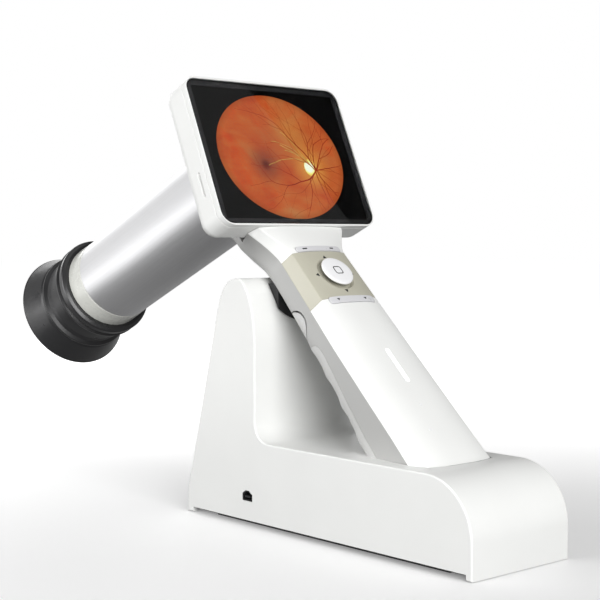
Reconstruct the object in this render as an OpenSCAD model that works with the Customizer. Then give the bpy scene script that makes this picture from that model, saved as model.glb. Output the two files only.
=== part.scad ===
// Handheld digital ophthalmoscope standing in its charging dock.
// Millimetres, +Z up, origin at the middle of the dock's underside, +X towards the dock's toe.

/* [Dock] */
// Length of the dock
dock_len = 190; // [180:1:200]
// Width of the dock
dock_w = 62.4; // [60:0.2:66]
// Height of the tower's ridge
tower_h = 118.6; // [118:0.2:119]
// Height of the foot's flat top
foot_h = 41; // [40.6:0.2:41.4]
// Wall thickness of the dock
dock_wall = 2.4; // [2:0.1:3]

/* [Head] */
// Backward tilt of the screen from vertical, in degrees
head_tilt = 24; // [23:0.5:25]
// Width of the screen housing
head_w = 99; // [98:0.5:102]
// Height of the screen housing
head_h = 78.4; // [78:0.2:81]
// Depth of the screen housing
head_d = 20; // [19:0.5:21]

/* [Barrel] */
// Outer radius of the aluminium barrel
barrel_r = 24.4; // [24:0.1:24.8]
// Distance from the screen's face to the barrel's front end
barrel_end = 160.9; // [158:0.1:162]
// Radius of the eyecup's rim
rim_r = 33.7; // [32:0.1:35]
// Distance from the screen's face to the eyecup's rim
rim_at = 213.3; // [212:0.1:216]

/* [Handle] */
// Slope of the handle's front face below horizontal, in degrees
handle_slope = 44.4; // [44:0.1:45]
// Wall thickness of the handle's shells
handle_wall = 2; // [1.8:0.1:2.2]

/* [Keys] */
// Diameter of the navigation disc
nav_d = 17; // [16:0.5:18]
// Length of each key strip
strip_len = 28; // [26:0.5:29]

/* [Hidden] */
$fn = 64;
eps = 0.01;
far = 200;
seam = 0.15;
run_gap = 0.3;

// Colours
white = [0.95, 0.95, 0.93];
beige = [0.86, 0.84, 0.78];
key_grey = [0.82, 0.82, 0.86];
black = [0.06, 0.06, 0.065];
steel = [0.62, 0.63, 0.65];
board_green = [0.05, 0.3, 0.16];
glass_tint = [0.7, 0.8, 0.85, 0.5];

// Frames of reference
half_len = dock_len / 2;
screen_at = [-57.4, 0, 179.8];
barrel_lift = 0.9;
handle_at = [-29.9, 0, 131.8];
// Direction in which the handset leaves the dock, above horizontal
lift_slope = 57;

module in_head() translate(screen_at) rotate([0, 90 - head_tilt, 0]) children();
module in_barrel(at = 0) in_head() translate([-barrel_lift, 0, -at]) children();
module in_handle() translate(handle_at) rotate([0, handle_slope, 0]) children();
// Extrudes an outline drawn in X and Z, centred on Y
module side_cut(w) rotate([90, 0, 0]) linear_extrude(height = w, center = true) children();

// The handle's front face is crowned: it falls away by this much at its two long edges
crown = 1.7;
// Radius of the handle's two rear corners
rear_corner = 10;

// Geometry helpers
function cubic(a, b, c, d, n) = [for (i = [0:n]) let (t = i / n, u = 1 - t)
    u * u * u * a + 3 * u * u * t * b + 3 * u * t * t * c + t * t * t * d];
function arc(c, r, a0, a1, n) = [for (i = [0:n]) let (a = a0 + (a1 - a0) * i / n)
    c + r * [cos(a), sin(a)]];
function mirrored(pts) = [for (i = [len(pts) - 1:-1:0]) [-pts[i][0], pts[i][1]]];

module rounded_plate(x, y, r, h) {
    linear_extrude(height = h)
        union() {
            square([x - 2 * r, y], center = true);
            square([x, y - 2 * r], center = true);
            for (sx = [-1, 1], sy = [-1, 1])
                translate([sx * (x / 2 - r), sy * (y / 2 - r)]) circle(r);
        }
}

module ring(r_out, r_in, h) {
    difference() {
        cylinder(r = r_out, h = h);
        translate([0, 0, -eps]) cylinder(r = r_in, h = h + 2 * eps);
    }
}

// A screw with its head at z = 0 and its shank pointing up
module screw(head_r, head_h, r, length) {
    difference() {
        cylinder(r = head_r, h = head_h);
        translate([0, 0, -eps]) cylinder(r = head_r * 0.5, h = head_h * 0.5, $fn = 6);
    }
    translate([0, 0, head_h - eps]) cylinder(r = r, h = length - head_h);
}

// A lens with two curved faces, centred on z = 0
module lens(r, edge, bulge) {
    n = 12;
    face = [for (i = [0:n]) [r * i / n, edge / 2 + bulge * (1 - pow(i / n, 2))]];
    back = [for (i = [n:-1:0]) [r * i / n, -edge / 2 - bulge * (1 - pow(i / n, 2))]];
    rotate_extrude() polygon(concat(face, back));
}

// Dock ---------------------------------------------------------------
foot_gap = 2.9;
back_foot = 4.65;
toe_foot = 3;
toe_r = 26;
corner_r = 0.8;
front_wall_x = -41.7;
shell_low = 0.3;

function dock_outline() = concat(
    [[-half_len, shell_low]],
    cubic([-half_len, 9], [-half_len, 14], [-93.6, 16.8], [-92.2, 21.5], 6),
    cubic([-71.6, 99], [-68.9, 109], [-66.4, tower_h], [-55, tower_h], 10),
    cubic([-53.4, tower_h], [-48, 116.5], [front_wall_x - 0.2, 105], [front_wall_x, 86], 10),
    cubic([front_wall_x, 51], [front_wall_x, 45], [-37.8, foot_h], [-31.5, foot_h], 8),
    arc([half_len - toe_r, foot_h - toe_r], toe_r, 90, 0, 14),
    [[half_len, shell_low]]);

module dock_block(shrink) {
    intersection() {
        side_cut(dock_w - 2 * shrink) offset(delta = -shrink) polygon(dock_outline());
        translate([0, 0, -far / 2]) rounded_plate(dock_len - 2 * shrink, dock_w - 2 * shrink,
                                                  corner_r, 2 * far);
    }
}

// The cradle's trough runs along the lift direction
trough_r = 38;
trough_low = [-42.3, 97.3];
module along_lift() {
    translate([trough_low[0], 0, trough_low[1]]) rotate([0, lift_slope - 90, 0]) children();
}
module trough(r) {
    along_lift() translate([trough_r, 0, -60]) cylinder(r = r, h = 140, $fn = 128);
}

// The socket that the handle's end stands in
handle_end_z = 38.2;
socket_floor_z = 37.9;
socket_gap = 0.45;
// Half-widths of the handle where it meets the dock, and the depth that the socket leaves for it
end_front = 19.9;
end_shoulder = [22.5, 8.4];
end_rear = [20.3, 32.8];
function foot_x(depth, z) = handle_at[0] + (handle_at[2] - z) / tan(handle_slope)
    - depth / sin(handle_slope);
module socket_outline(z, gap) {
    corner = arc([end_rear[0] - rear_corner, end_rear[1] - rear_corner], rear_corner, 0, 90, 3);
    half = concat([[foot_x(0, z), end_front * 0.45], [foot_x(crown, z), end_front],
                   [foot_x(end_shoulder[1], z), end_shoulder[0]]],
                  [for (p = corner) [foot_x(p[1], z), p[0]]]);
    offset(delta = gap) polygon(concat(half, [for (i = [len(half) - 1:-1:0]) [half[i][0], -half[i][1]]]));
}
module socket() {
    rise = foot_h + 3 - socket_floor_z;
    multmatrix([[1, 0, -1 / tan(lift_slope), socket_floor_z / tan(lift_slope)],
                [0, 1, 0, 0], [0, 0, 1, 0], [0, 0, 0, 1]])
        translate([0, 0, socket_floor_z]) linear_extrude(height = rise)
            socket_outline(handle_end_z, socket_gap);
}

pin_x = 40;
pin_y = 8;
carrier = [14, 26, 7];
port_at = [-47.3, -dock_w / 2, 12.3];
port_outline = [[-3.6, 0], [3.6, 0], [3.6, 3.2], [2.4, 3.8], [1.2, 4.7],
                [-1.2, 4.7], [-2.4, 3.8], [-3.6, 3.2]];
dock_screw_at = [[-82, 24.4], [-82, -24.4], [82, 24.4], [82, -24.4]];

module dock_shell() {
    color(white) difference() {
        dock_block(0);
        // Hollow inside, open below, with the socket's walls and floor left in
        difference() {
            union() {
                dock_block(dock_wall);
                translate([0, 0, shell_low]) rounded_plate(dock_len - 2 * dock_wall,
                    dock_w - 2 * dock_wall, 3, dock_wall + 3);
            }
            translate([foot_x(17, foot_h), 0, foot_h - 6.6]) rounded_plate(56, 54, 4, 8);
            for (p = dock_screw_at) translate([p[0], p[1], 4.4]) cylinder(r = 4.8, h = 11);
            trough_liner();
        }
        // Raised skirts along both sides
        translate([(back_foot - toe_foot) / 2, 0, 0])
            cube([dock_len - back_foot - toe_foot, far, 2 * foot_gap], center = true);
        trough(trough_r);
        socket();
        translate([pin_x, 0, foot_h - 10]) cube([carrier[0] + 0.4, carrier[1] + 0.4, 20], center = true);
        translate(port_at) side_cut(8) offset(delta = 0.2) polygon(port_outline);
        for (p = dock_screw_at) translate([p[0], p[1], 4]) cylinder(r = 1.4, h = 9);
    }
}
module trough_liner() {
    intersection() {
        difference() {
            trough(trough_r + dock_wall);
            trough(trough_r);
        }
        dock_block(1);
    }
}

module dock_base_plate() {
    color(black) difference() {
        translate([0, 0, 1.6]) rounded_plate(dock_len - 11, dock_w - 5.4, 3, 2.6);
        for (p = dock_screw_at) translate([p[0], p[1], 0]) cylinder(r = 1.9, h = 9);
        for (p = dock_screw_at) translate([p[0], p[1], 1]) cylinder(r = 3.6, h = 2.2);
    }
}
module anti_slip_mat() {
    color(black) difference() {
        rounded_plate(dock_len - 18, dock_w - 12, 5, 1.6);
        for (p = dock_screw_at) translate([p[0], p[1], -1]) cylinder(r = 4.2, h = 4);
    }
}
module ballast_plate() {
    color(steel) difference() {
        translate([0, 0, 4.2]) rounded_plate(150, 44, 3, 6);
        translate([port_at[0], -22, 4]) cube([26, 16, 16], center = true);
    }
}
module dock_screws() {
    color(steel) for (p = dock_screw_at) translate([p[0], p[1], 1.8]) screw(3.4, 1.3, 1.35, 10);
}

pad_top_z = 116;
pad_half = 15.6;
module cradle_pad() {
    color(black) difference() {
        intersection() {
            trough(trough_r - 0.05);
            side_cut(2 * pad_half) polygon([[-42.6, 95], [-42.6, pad_top_z], [-58, pad_top_z],
                                            [-58, 110], [-50, 95]]);
        }
        handle_envelope(0.35);
    }
}

module charging_board() {
    color(board_green) union() {
        translate([-20, 0, 20]) cube([60, 30, 1.6], center = true);
        translate([-30, 0, 22.3]) cube([12, 12, 3], center = true);
        translate([-6, -6, 22.8]) cylinder(r = 3.2, h = 6, center = true);
    }
}
module charge_port() {
    color(black) difference() {
        translate(port_at + [0, 4.6, 0]) side_cut(8.8) offset(delta = 0.05) polygon(port_outline);
        translate(port_at + [0, 3.4, 0]) side_cut(8.4) difference() {
            offset(delta = -0.5) polygon(port_outline);
            translate([-1.9, 1.5]) square([3.8, 0.9]);
        }
    }
}
module contact_carrier() {
    color(black) difference() {
        translate([pin_x, 0, socket_floor_z - 0.1 - carrier[2] / 2]) cube(carrier, center = true);
        for (s = [-1, 1]) translate([pin_x, s * pin_y, socket_floor_z - 6])
            cylinder(r = 1.25, h = 10);
        for (s = [-1, 1]) translate([pin_x, s * pin_y, socket_floor_z - 6.1])
            cylinder(r = 2, h = 4);
    }
}
// A sprung charging pin, with a collar that stops it in its carrier
module charge_pin(s) {
    color("gold") translate([pin_x, s * pin_y, 0]) union() {
        translate([0, 0, handle_end_z - 3.7]) cylinder(r = 1.2, h = 3.3);
        translate([0, 0, handle_end_z - 0.4 - eps]) cylinder(r1 = 1.2, r2 = 0.6, h = 0.36);
        translate([0, 0, handle_end_z - 4.6]) cylinder(r = 1.9, h = 1.2);
    }
}
module charge_pin_left() charge_pin(1);
module charge_pin_right() charge_pin(-1);

// Handle -------------------------------------------------------------
// Half-widths and depths along the handle, from the keypad's top edge downwards
front_half = [[-46, 18], [-32, 20], [-24, 27.5], [-16.7, 27], [-13.2, 24.4], [-9.7, 21.9],
              [-6.7, 19.9], [-3.7, 18.2], [-1.2, 16.9], [29, 17.4], [54, 18], [81, 18.6],
              [106, 19.2], [128, 19.7], [140, 20]];
shoulder_half = [[-46, 19], [-34, 22], [-27, 29], [-22, 29], [-16.2, 28.2], [-11.7, 24.8],
                 [-7.7, 22.3], [-1.7, 19.5], [29, 19.8], [54, 21.2], [81, 21.6], [106, 21.8],
                 [128, 22.5], [140, 22.8]];
shoulder_depth = [[-46, 10.7], [-27, 10.1], [-22, 8.6], [-16, 6.7], [-11.7, 7.2], [-7.7, 7.6],
                  [-1.7, 8.1], [29, 8.9], [54, 8.6], [106, 8.4], [140, 8.4]];
crown_at = [[0.45, 0.09], [0.72, 0.37]];
rear_half = [[-46, 18], [-20, 19], [0, 18.7], [40, 19.3], [100, 20.2], [140, 20.8]];
ridge_at = [42, 57.5, 74, 92];
ridge_h = 0.9;
function ridges(x) = ridge_h * (exp(-pow((x - ridge_at[0]) / 3.2, 2))
    + exp(-pow((x - ridge_at[1]) / 3.2, 2)) + exp(-pow((x - ridge_at[2]) / 3.2, 2))
    + exp(-pow((x - ridge_at[3]) / 3.2, 2)));
function depth(x) = x < 3 ? 22.8 + 0.01045 * pow(3 - x, 1.8)
    : x < 99 ? 22.8 + 0.02 * (x - 3) + 0.00068 * (x * x - 9) + ridges(x)
    : 31.37 + 0.1 * (x - 99);

function half_section(x, g) = let (r = rear_corner, w = lookup(x, rear_half), d = depth(x))
    concat([for (c = crown_at) [lookup(x, front_half) * c[0], g - crown * c[1]]],
           [[lookup(x, front_half) + g * 0.5, g - crown],
            [lookup(x, shoulder_half) + g, -lookup(x, shoulder_depth) - g * 0.2]],
           [for (a = [0:18:90]) [w - r + (r + g) * cos(a), -(d - r) - (r + g) * sin(a)]]);
function section(x, g) = let (h = half_section(x, g))
    [for (p = concat(h, mirrored(h))) [x, p[0], p[1]]];
stations = concat([-46, -40, -34, -28, -23, -19, -16, -13, -10, -7, -4, -2],
    [for (x = [0:4:136]) x], [140]);

// Triangles that join each ring to the next, starting from point number 'from'
function side_faces(m, n, from) = [for (j = [0:n - 2], i = [0:m - 1]) let (k = (i + 1) % m, b = from + j * m)
    each [[b + i, b + k, b + m + k], [b + i, b + m + k, b + m + i]]];
function flipped(faces) = [for (f = faces) [f[2], f[1], f[0]]];
function flat(rings) = [for (r = rings) each r];

// Skins a row of rings into one closed solid
module loft(rings) {
    m = len(rings[0]);
    n = len(rings);
    caps = [[for (i = [m - 1:-1:0]) i], [for (i = [0:m - 1]) (n - 1) * m + i]];
    polyhedron(points = flat(rings), faces = concat(side_faces(m, n, 0), caps), convexity = 6);
}
// Skins the wall between two rows of rings, open at both ends
module loft_wall(outer, inner) {
    m = len(outer[0]);
    n = len(outer);
    last = (n - 1) * m;
    start_cap = [for (i = [0:m - 1]) let (k = (i + 1) % m)
        each [[i, n * m + k, k], [i, n * m + i, n * m + k]]];
    end_cap = [for (i = [0:m - 1]) let (k = (i + 1) % m, a = last + i, b = last + k)
        each [[a, b, n * m + b], [a, n * m + b, n * m + a]]];
    polyhedron(points = concat(flat(outer), flat(inner)), faces = concat(side_faces(m, n, 0),
        flipped(side_faces(m, n, n * m)), start_cap, end_cap), convexity = 8);
}
module handle_envelope(g) in_handle() loft([for (x = stations) section(x, g)]);
module handle_wall_form(t) {
    in_handle() loft_wall([for (x = stations) section(x, 0)], [for (x = stations) section(x, -t)]);
}

module head_block(g, deep) {
    in_head() translate([0, 0, -deep]) rounded_plate(head_h + 2 * g, head_w + 2 * g, 8, deep + 8);
}
// The handle's wall, ended by the head and the barrel above and by the end cap below
module handle_skin(low) {
    difference() {
        handle_wall_form(handle_wall);
        head_block(seam, head_d);
        in_barrel(120) cylinder(r = barrel_r + 0.2, h = 120);
        translate([-far, -far, low - 2 * far]) cube([2 * far, 2 * far, 2 * far]);
    }
}
neck_top = -20;
panel_top = 0.3;
panel_end = 30.3;
// Everything in front of the seam between the front and rear shells
module front_zone(x0, x1) {
    in_handle() side_cut(80)
        polygon(concat([[x1, 6], [x0, 6]],
            [for (x = concat([x0], [for (s = stations) if (s > x0 && s < x1) s], [x1]))
                [x, -lookup(x, shoulder_depth) - 0.8]]));
}
insert_edge = concat([[46, -60], [41.5, -30]],
    cubic([41.5, -24], [42, -17.5], [46, -16], [52, -16.6], 8),
    [[59.7, -17.5], [79.2, -20.4], [92.1, -21.8], [106.6, -22.7], [130, -24.5], [130, -60]]);
module insert_zone(g) in_handle() side_cut(80) offset(delta = g) polygon(insert_edge);

trigger_c = [28.5, -26];
trigger_r = [8.7, 10.6];
trigger_travel = 0.8;
// The trigger's oval seen from the side, wider by g and taller by the travel that it is given
module trigger_zone(g, travel = 0) {
    in_handle() translate([trigger_c[0], 0, trigger_c[1]]) side_cut(80)
        polygon([for (a = [0:10:350]) [(trigger_r[0] + g) * cos(a),
                                       (trigger_r[1] + g) * sin(a) + (a <= 180 ? travel : 0)]]);
}
boss_at = [[48, 13.5], [48, -13.5], [98, 13.5], [98, -13.5]];
boss_top = 19;

strip_w = [3.2, 3.9];
strip_x = [-1.4, 31.9];
module strip_shape(w, g, h) {
    r = 1.2;
    rounded_plate(w + 2 * g, strip_len + 2 * g, r + g, h);
}
module neck_cover() {
    color(white) difference() {
        intersection() {
            handle_skin(handle_end_z);
            front_zone(neck_top, panel_top - seam);
        }
        in_handle() translate([strip_x[0], 0, -3]) strip_shape(strip_w[0], 0.25, 8);
    }
}
dish_r = 10;
dish_deep = 1.9;
nav_x = 15.4;
module keypad_bezel() {
    color(beige) difference() {
        union() {
            intersection() {
                handle_skin(handle_end_z);
                front_zone(panel_top, panel_end);
            }
            in_handle() translate([nav_x, 0, -3.4]) cylinder(r = 12, h = 2.6);
        }
        in_handle() translate([nav_x, 0, -dish_deep])
            cylinder(r1 = dish_r - 1, r2 = dish_r, h = dish_deep + 0.02);
        in_handle() translate([nav_x, 0, -5]) cylinder(r = 5, h = 6);
        in_handle() translate([strip_x[0], 0, -3]) strip_shape(strip_w[0], 0.25, 8);
        in_handle() translate([strip_x[1], 0, -3]) strip_shape(strip_w[1], 0.25, 8);
    }
}
light_x = [63.3, 83.1];
light_w = 2.2;
dot_at = [[96.6, -2.3], [110.3, -6.6]];
dot_r = 0.7;
module light_shape(g, h) {
    linear_extrude(height = h) {
        for (x = light_x) translate([x + (x < 70 ? 1 : -1) * light_w / 2, 0]) circle(light_w / 2 + g);
        translate([light_x[0] + light_w / 2, -light_w / 2 - g])
            square([light_x[1] - light_x[0] - light_w, light_w + 2 * g]);
    }
}
module front_shell() {
    color(white) difference() {
        union() {
            intersection() {
                handle_skin(handle_end_z + 2.6);
                front_zone(panel_end + seam, 150);
            }
            in_handle() for (p = boss_at) translate([p[0], p[1], 5 - boss_top])
                cylinder(r = 2.6, h = boss_top - 6.5);
        }
        in_handle() for (p = boss_at) translate([p[0], p[1], -boss_top]) cylinder(r = 0.85, h = boss_top - 6);
        in_handle() translate([strip_x[1], 0, -3]) strip_shape(strip_w[1], 0.25, 8);
        in_handle() translate([0, 0, -3]) light_shape(0.05, 6);
        in_handle() for (p = dot_at) translate([p[0], p[1], -3]) cylinder(r = dot_r + 0.05, h = 6);
    }
}
module rear_shell() {
    color(white) difference() {
        handle_skin(handle_end_z + 2.6);
        front_zone(neck_top - seam, 150);
        insert_zone(seam);
        trigger_zone(run_gap, trigger_travel);
    }
}
module grip_insert() {
    color(white) difference() {
        intersection() {
            handle_skin(handle_end_z + 2.6);
            insert_zone(0);
        }
        in_handle() for (p = boss_at) translate([p[0], p[1], -60]) cylinder(r = 2.2, h = 30);
    }
}
module end_cap() {
    color(black) difference() {
        intersection() {
            handle_envelope(-0.1);
            translate([0, -40, handle_end_z]) cube([90, 80, 2.45]);
        }
        for (s = [-1, 1]) translate([pin_x, s * pin_y, handle_end_z - 1]) cylinder(r = 2.4, h = 5);
    }
}
module contact_pads() {
    color("gold") for (s = [-1, 1]) translate([pin_x, s * pin_y, handle_end_z]) cylinder(r = 2.35, h = 2.4);
}
module light_guide() {
    color([0.98, 0.98, 0.96]) in_handle() translate([0, 0, -2]) light_shape(0, 2.1);
}
module indicator_lenses() {
    color(key_grey) in_handle() for (p = dot_at) translate([p[0], p[1], -2]) cylinder(r = dot_r, h = 2.1);
}
module handle_screws() {
    color(steel) in_handle() for (p = boss_at) translate([p[0], p[1], -19.2]) screw(1.7, 1.2, 0.8, 10);
}
module handle_board() {
    color(board_green) in_handle() union() {
        translate([74, 0, -4.9]) cube([76, 21, 1.2], center = true);
        translate([60, 0, -6.1]) cube([10, 10, 1.4], center = true);
        translate([90, 3, -6.1]) cube([8, 8, 1.4], center = true);
    }
}
module keypad_board() {
    color(board_green) in_handle() difference() {
        translate([14, 0, -6.7]) cube([42, 30, 1.2], center = true);
        translate([nav_x, 0, -8]) cylinder(r = 4.2, h = 4);
    }
}
module battery_pack() {
    color([0.2, 0.35, 0.6]) in_handle() translate([73, 0, -18.5]) rounded_plate(42, 21, 3, 10);
}
module neck_bracket() {
    color(steel) difference() {
        in_head() translate([37, 0, -13]) rounded_plate(30, 26, 2, 1.8);
        in_head() for (s = [-1, 1]) translate([28, s * 8, -15]) cylinder(r = 1.5, h = 6);
    }
}

// Keys ---------------------------------------------------------------
key_proud = 0.45;
pivot_z = -2.4;
pivot_r = 0.9;
module key_strip(i) {
    color(key_grey) union() {
        intersection() {
            in_handle() translate([strip_x[i], 0, pivot_z]) strip_shape(strip_w[i], 0, 6);
            handle_envelope(key_proud);
        }
        in_handle() translate([strip_x[i] - strip_w[i] / 2, 0, pivot_z]) rotate([0, 90, 0])
            cylinder(r = pivot_r, h = strip_w[i]);
    }
}
module upper_key() key_strip(0);
module lower_key() key_strip(1);

nav_top = 2.6;
nav_thick = 3.4;
hub = [5.6, 1.2];
module nav_disc() {
    color(white) in_handle() translate([nav_x, 0, nav_top - nav_thick]) difference() {
        rotate_extrude() polygon(concat([[0, 0], [hub[0], 0], hub, [nav_d / 2 - 1, hub[1] + 0.3]],
            arc([nav_d / 2 - 0.9, nav_thick - 0.95], 0.9, -40, 45, 6),
            [[nav_d / 2 - 1.6, nav_thick - 0.12], [0, nav_thick]]));
        translate([0, 0, -1]) cylinder(r = 2.2, h = 1.6);
    }
}
module nav_gimbal() {
    color(black) in_handle() translate([nav_x, 0, nav_top - nav_thick - 1.5]) union() {
        ring(3.4, 2.45, 1.1);
        cylinder(r = 3.4, h = 0.4);
        for (a = [0:90:270]) translate([0, 0, 0.9]) rotate([0, 90, a]) translate([0, 0, 3])
            cylinder(r = 0.35, h = 1.2);
    }
}
module nav_stem() {
    color(steel) in_handle() translate([nav_x, 0, nav_top - nav_thick - 4.8]) cylinder(r = 2, h = 3.1);
}
module nav_switch() {
    color(black) in_handle() difference() {
        translate([nav_x, 0, -8.4]) cube([7.6, 5.6, 2.2], center = true);
        translate([nav_x, 0, -8.2]) cylinder(r = 2.1, h = 4);
    }
}

spring_r = 2.6;
spring_at = [28.5, -20];
spring_len = 6.4;
module trigger() {
    color(white) difference() {
        intersection() {
            union() {
                handle_wall_form(3);
                in_handle() translate([spring_at[0], 0, -24]) cube([12, 20, 4], center = true);
                in_handle() translate([spring_at[0], 0, -23.5]) cylinder(r = 1.4, h = 7.8);
            }
            trigger_zone(0);
        }
        in_handle() translate([spring_at[0], 0, -30]) cylinder(r = 0.4, h = 3);
    }
}
module trigger_spring() {
    turns = 5;
    wire = 0.35;
    per_turn = 12;
    steps = turns * per_turn;
    color(steel) in_handle() translate([spring_at[0], 0, spring_at[1]])
        loft([for (i = [0:steps]) let (a = 360 * i / per_turn, z = 0.4 + (spring_len - 0.8) * i / steps)
            [for (b = [0:60:300]) let (q = spring_r + wire * cos(b))
                [q * cos(a), -q * sin(a), z + wire * sin(b)]]]);
}
module trigger_switch() {
    color(black) in_handle() union() {
        translate([spring_at[0], 0, spring_at[1] + spring_len + 0.8]) cube([16, 24, 1.4], center = true);
        translate([spring_at[0], 0, spring_at[1] + spring_len - 1.2]) cylinder(r = 1.5, h = 1.4);
        for (s = [-1, 1]) translate([spring_at[0], s * 10, spring_at[1] + spring_len + 3])
            cube([6, 2, 4], center = true);
    }
}

// Head ---------------------------------------------------------------
glass = [76.3, 97.6];
glass_t = 1.1;
bezel_d = 3;
card_at = [15.3, -7.75];
slot_len = 13;
card = [11, 15, 1];
module screen_bezel() {
    color(white) in_head() difference() {
        translate([0, 0, -bezel_d]) rounded_plate(head_h, head_w, 7.5, bezel_d + 0.25);
        translate([0, 0, -bezel_d - 1]) rounded_plate(glass[0] + 0.3, glass[1] + 0.3, 6.2, bezel_d + 3);
    }
}
// Rounded back form of the head, shrunk by g all round
module head_form(g) {
    back_r = 6;
    hull() {
        translate([0, 0, -head_d + back_r + g * 0.2])
            rounded_plate(head_h - 2 * g, head_w - 2 * g, 7.5 - g,
                          head_d - back_r - bezel_d - seam + g, $fn = 32);
        for (a = [0:15:75])
            translate([0, 0, -head_d + back_r + g * 0.2 - (back_r - g * 0.8) * sin(a + 15)])
                rounded_plate(head_h - 2 * (g + back_r * (1 - cos(a + 15))),
                              head_w - 2 * (g + back_r * (1 - cos(a + 15))), 6 - g, 0.2, $fn = 32);
    }
}
module head_shell() {
    color(white) in_head() difference() {
        head_form(0);
        difference() {
            head_form(2.2);
            translate([0, 0, -head_d]) rounded_plate(head_h - 8, head_w - 8, 5, 2.4);
        }
        translate([0, 0, -bezel_d - 0.6]) rounded_plate(head_h - 4.4, head_w - 4.4, 5, 4);
        translate([-barrel_lift, 0, -head_d - 1]) cylinder(r = barrel_r + 0.05, h = 12);
        for (a = [45:90:315]) translate([-barrel_lift, 0, 0.6 - head_d]) rotate([0, 0, a])
            translate([flange_screw_r, 0, 0]) cylinder(r = 1.15, h = 3);
        translate([card_at[0], -head_w / 2, card_at[1]]) cube([slot_len - 0.6, 12, 1.5], center = true);
        translate([card_at[0], -head_w / 2, card_at[1]]) cube([slot_len, 0.8, 1.9], center = true);
        translate([head_h / 2, 0, -12.1]) cube([14, 26.6, 2.4], center = true);
    }
}
module cover_glass() {
    color([0.1, 0.1, 0.11]) in_head() translate([0, 0, -glass_t])
        rounded_plate(glass[0], glass[1], 6, glass_t);
}
module display_panel() {
    color([0.02, 0.02, 0.02]) in_head() translate([0, 0, -5])
        rounded_plate(glass[0] - 3, glass[1] - 5, 3.5, 5 - glass_t - 0.05);
}
module head_board() {
    color(board_green) in_head() difference() {
        translate([0, 0, -10.8]) rounded_plate(66, 84, 2, 1.2);
        translate([-barrel_lift, 0, -12]) cylinder(r = 6, h = 5);
    }
}
module card_socket() {
    color(steel) in_head() difference() {
        translate([card_at[0], -39.6, -7.75]) cube([13.4, 14.6, 3.4], center = true);
        translate([card_at[0], -41, card_at[1]]) cube([card[0] + 0.4, 15.2, card[2] + 0.3], center = true);
    }
}
module memory_card() {
    color(black) in_head() translate([card_at[0], -head_w / 2 + 0.5 + card[1] / 2, card_at[1]])
        cube(card, center = true);
}

// Barrel and optics --------------------------------------------------
barrel_in = 22.4;
module in_barrel_ring(at, r_out, r_in, h) in_barrel(at + h) ring(r_out, r_in, h);
flange_r = 30;
flange_screw_r = 27;
flange_t = 2.2;
flange_at = head_d - 4.7;
screw_head_at = head_d - 5.85;
module barrel_tube() {
    color([0.78, 0.78, 0.8]) difference() {
        union() {
            in_barrel_ring(flange_at, barrel_r, barrel_in, barrel_end - flange_at);
            in_barrel_ring(flange_at, flange_r, barrel_in, flange_t);
        }
        for (a = [45:90:315]) in_barrel(head_d) rotate([0, 0, a]) translate([flange_screw_r, 0, 0])
            cylinder(r = 1.2, h = 8);
    }
}
module barrel_screws() {
    color(steel) for (a = [45:90:315]) in_barrel(0) rotate([0, 0, a])
        translate([flange_screw_r, 0, -screw_head_at]) rotate([180, 0, 0]) screw(1.9, 1.05, 1.1, 4.3);
}
nose_end = 172.8;
module nose_ring() {
    color([0.93, 0.93, 0.89]) in_barrel() rotate_extrude() polygon([
        [20.6, -barrel_end + 6], [barrel_in - 0.02, -barrel_end + 6], [barrel_in - 0.02, -barrel_end - 0.1],
        [barrel_r, -barrel_end - 0.1], [barrel_r + 0.6, -barrel_end - 1], [barrel_r + 0.6, -nose_end],
        [23.4, -nose_end], [23.4, -nose_end - 8], [20.6, -nose_end - 8]]);
}
module objective_lens() {
    color(glass_tint) in_barrel(166) lens(20.4, 2.4, 3.4);
}
module lens_retainer() {
    color(black) in_barrel_ring(172.4, 20.5, 18.6, 3.6);
}
ring_r = 28.9;
ring_end = 178.6;
module adapter_ring() {
    color(black) in_barrel() rotate_extrude() polygon([
        [23.5, -nose_end - 0.1], [26.8, -nose_end - 0.1], [ring_r - 0.4, -nose_end - 1],
        [ring_r, -nose_end - 1.8], [ring_r - 0.2, -ring_end + 1.2], [27.8, -ring_end],
        [24.6, -ring_end], [24.4, -ring_end - 8.5], [23.5, -ring_end - 8.5]]);
}
module rubber_eyecup() {
    color(black) in_barrel() rotate_extrude() polygon([
        [24.9, -ring_end - 0.4], [27.4, -ring_end - 0.4], [29, -ring_end - 1.7], [28.7, -ring_end - 2.8],
        [26.3, -ring_end - 4], [25.7, -ring_end - 6], [25.9, -193], [26.5, -195.6], [28.5, -197],
        [28.6, -197.8], [28, -198.8], [28.8, -200], [rim_r - 0.6, -rim_at + 0.9],
        [rim_r, -rim_at + 0.3], [rim_r - 0.4, -rim_at], [rim_r - 1.4, -rim_at],
        [26.9, -200.6], [24.2, -197.5], [22.6, -193.6], [22.4, -189.6], [24.9, -189.2]]);
}
module illumination_board() {
    color(board_green) union() {
        in_barrel_ring(150, barrel_in - 0.05, 15, 1.6);
        for (a = [0:45:315]) in_barrel(152.6) rotate([0, 0, a]) translate([18.6, 0, 0])
            cylinder(r = 1.4, h = 1.1);
    }
}
rod_y = 17;
rod_r = 1.5;
screw_x = 16;
module relay_mount() {
    color([0.12, 0.12, 0.13]) difference() {
        in_barrel_ring(112, barrel_in - 0.05, 12, 6);
        for (s = [-1, 1]) in_barrel(119) translate([0, s * rod_y, 0]) cylinder(r = rod_r + 0.02, h = 8);
        in_barrel(119) translate([screw_x, 0, 0]) cylinder(r = 1.55, h = 8);
    }
}
module relay_lens() color(glass_tint) in_barrel(115) lens(11.95, 2, 1.8);
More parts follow.
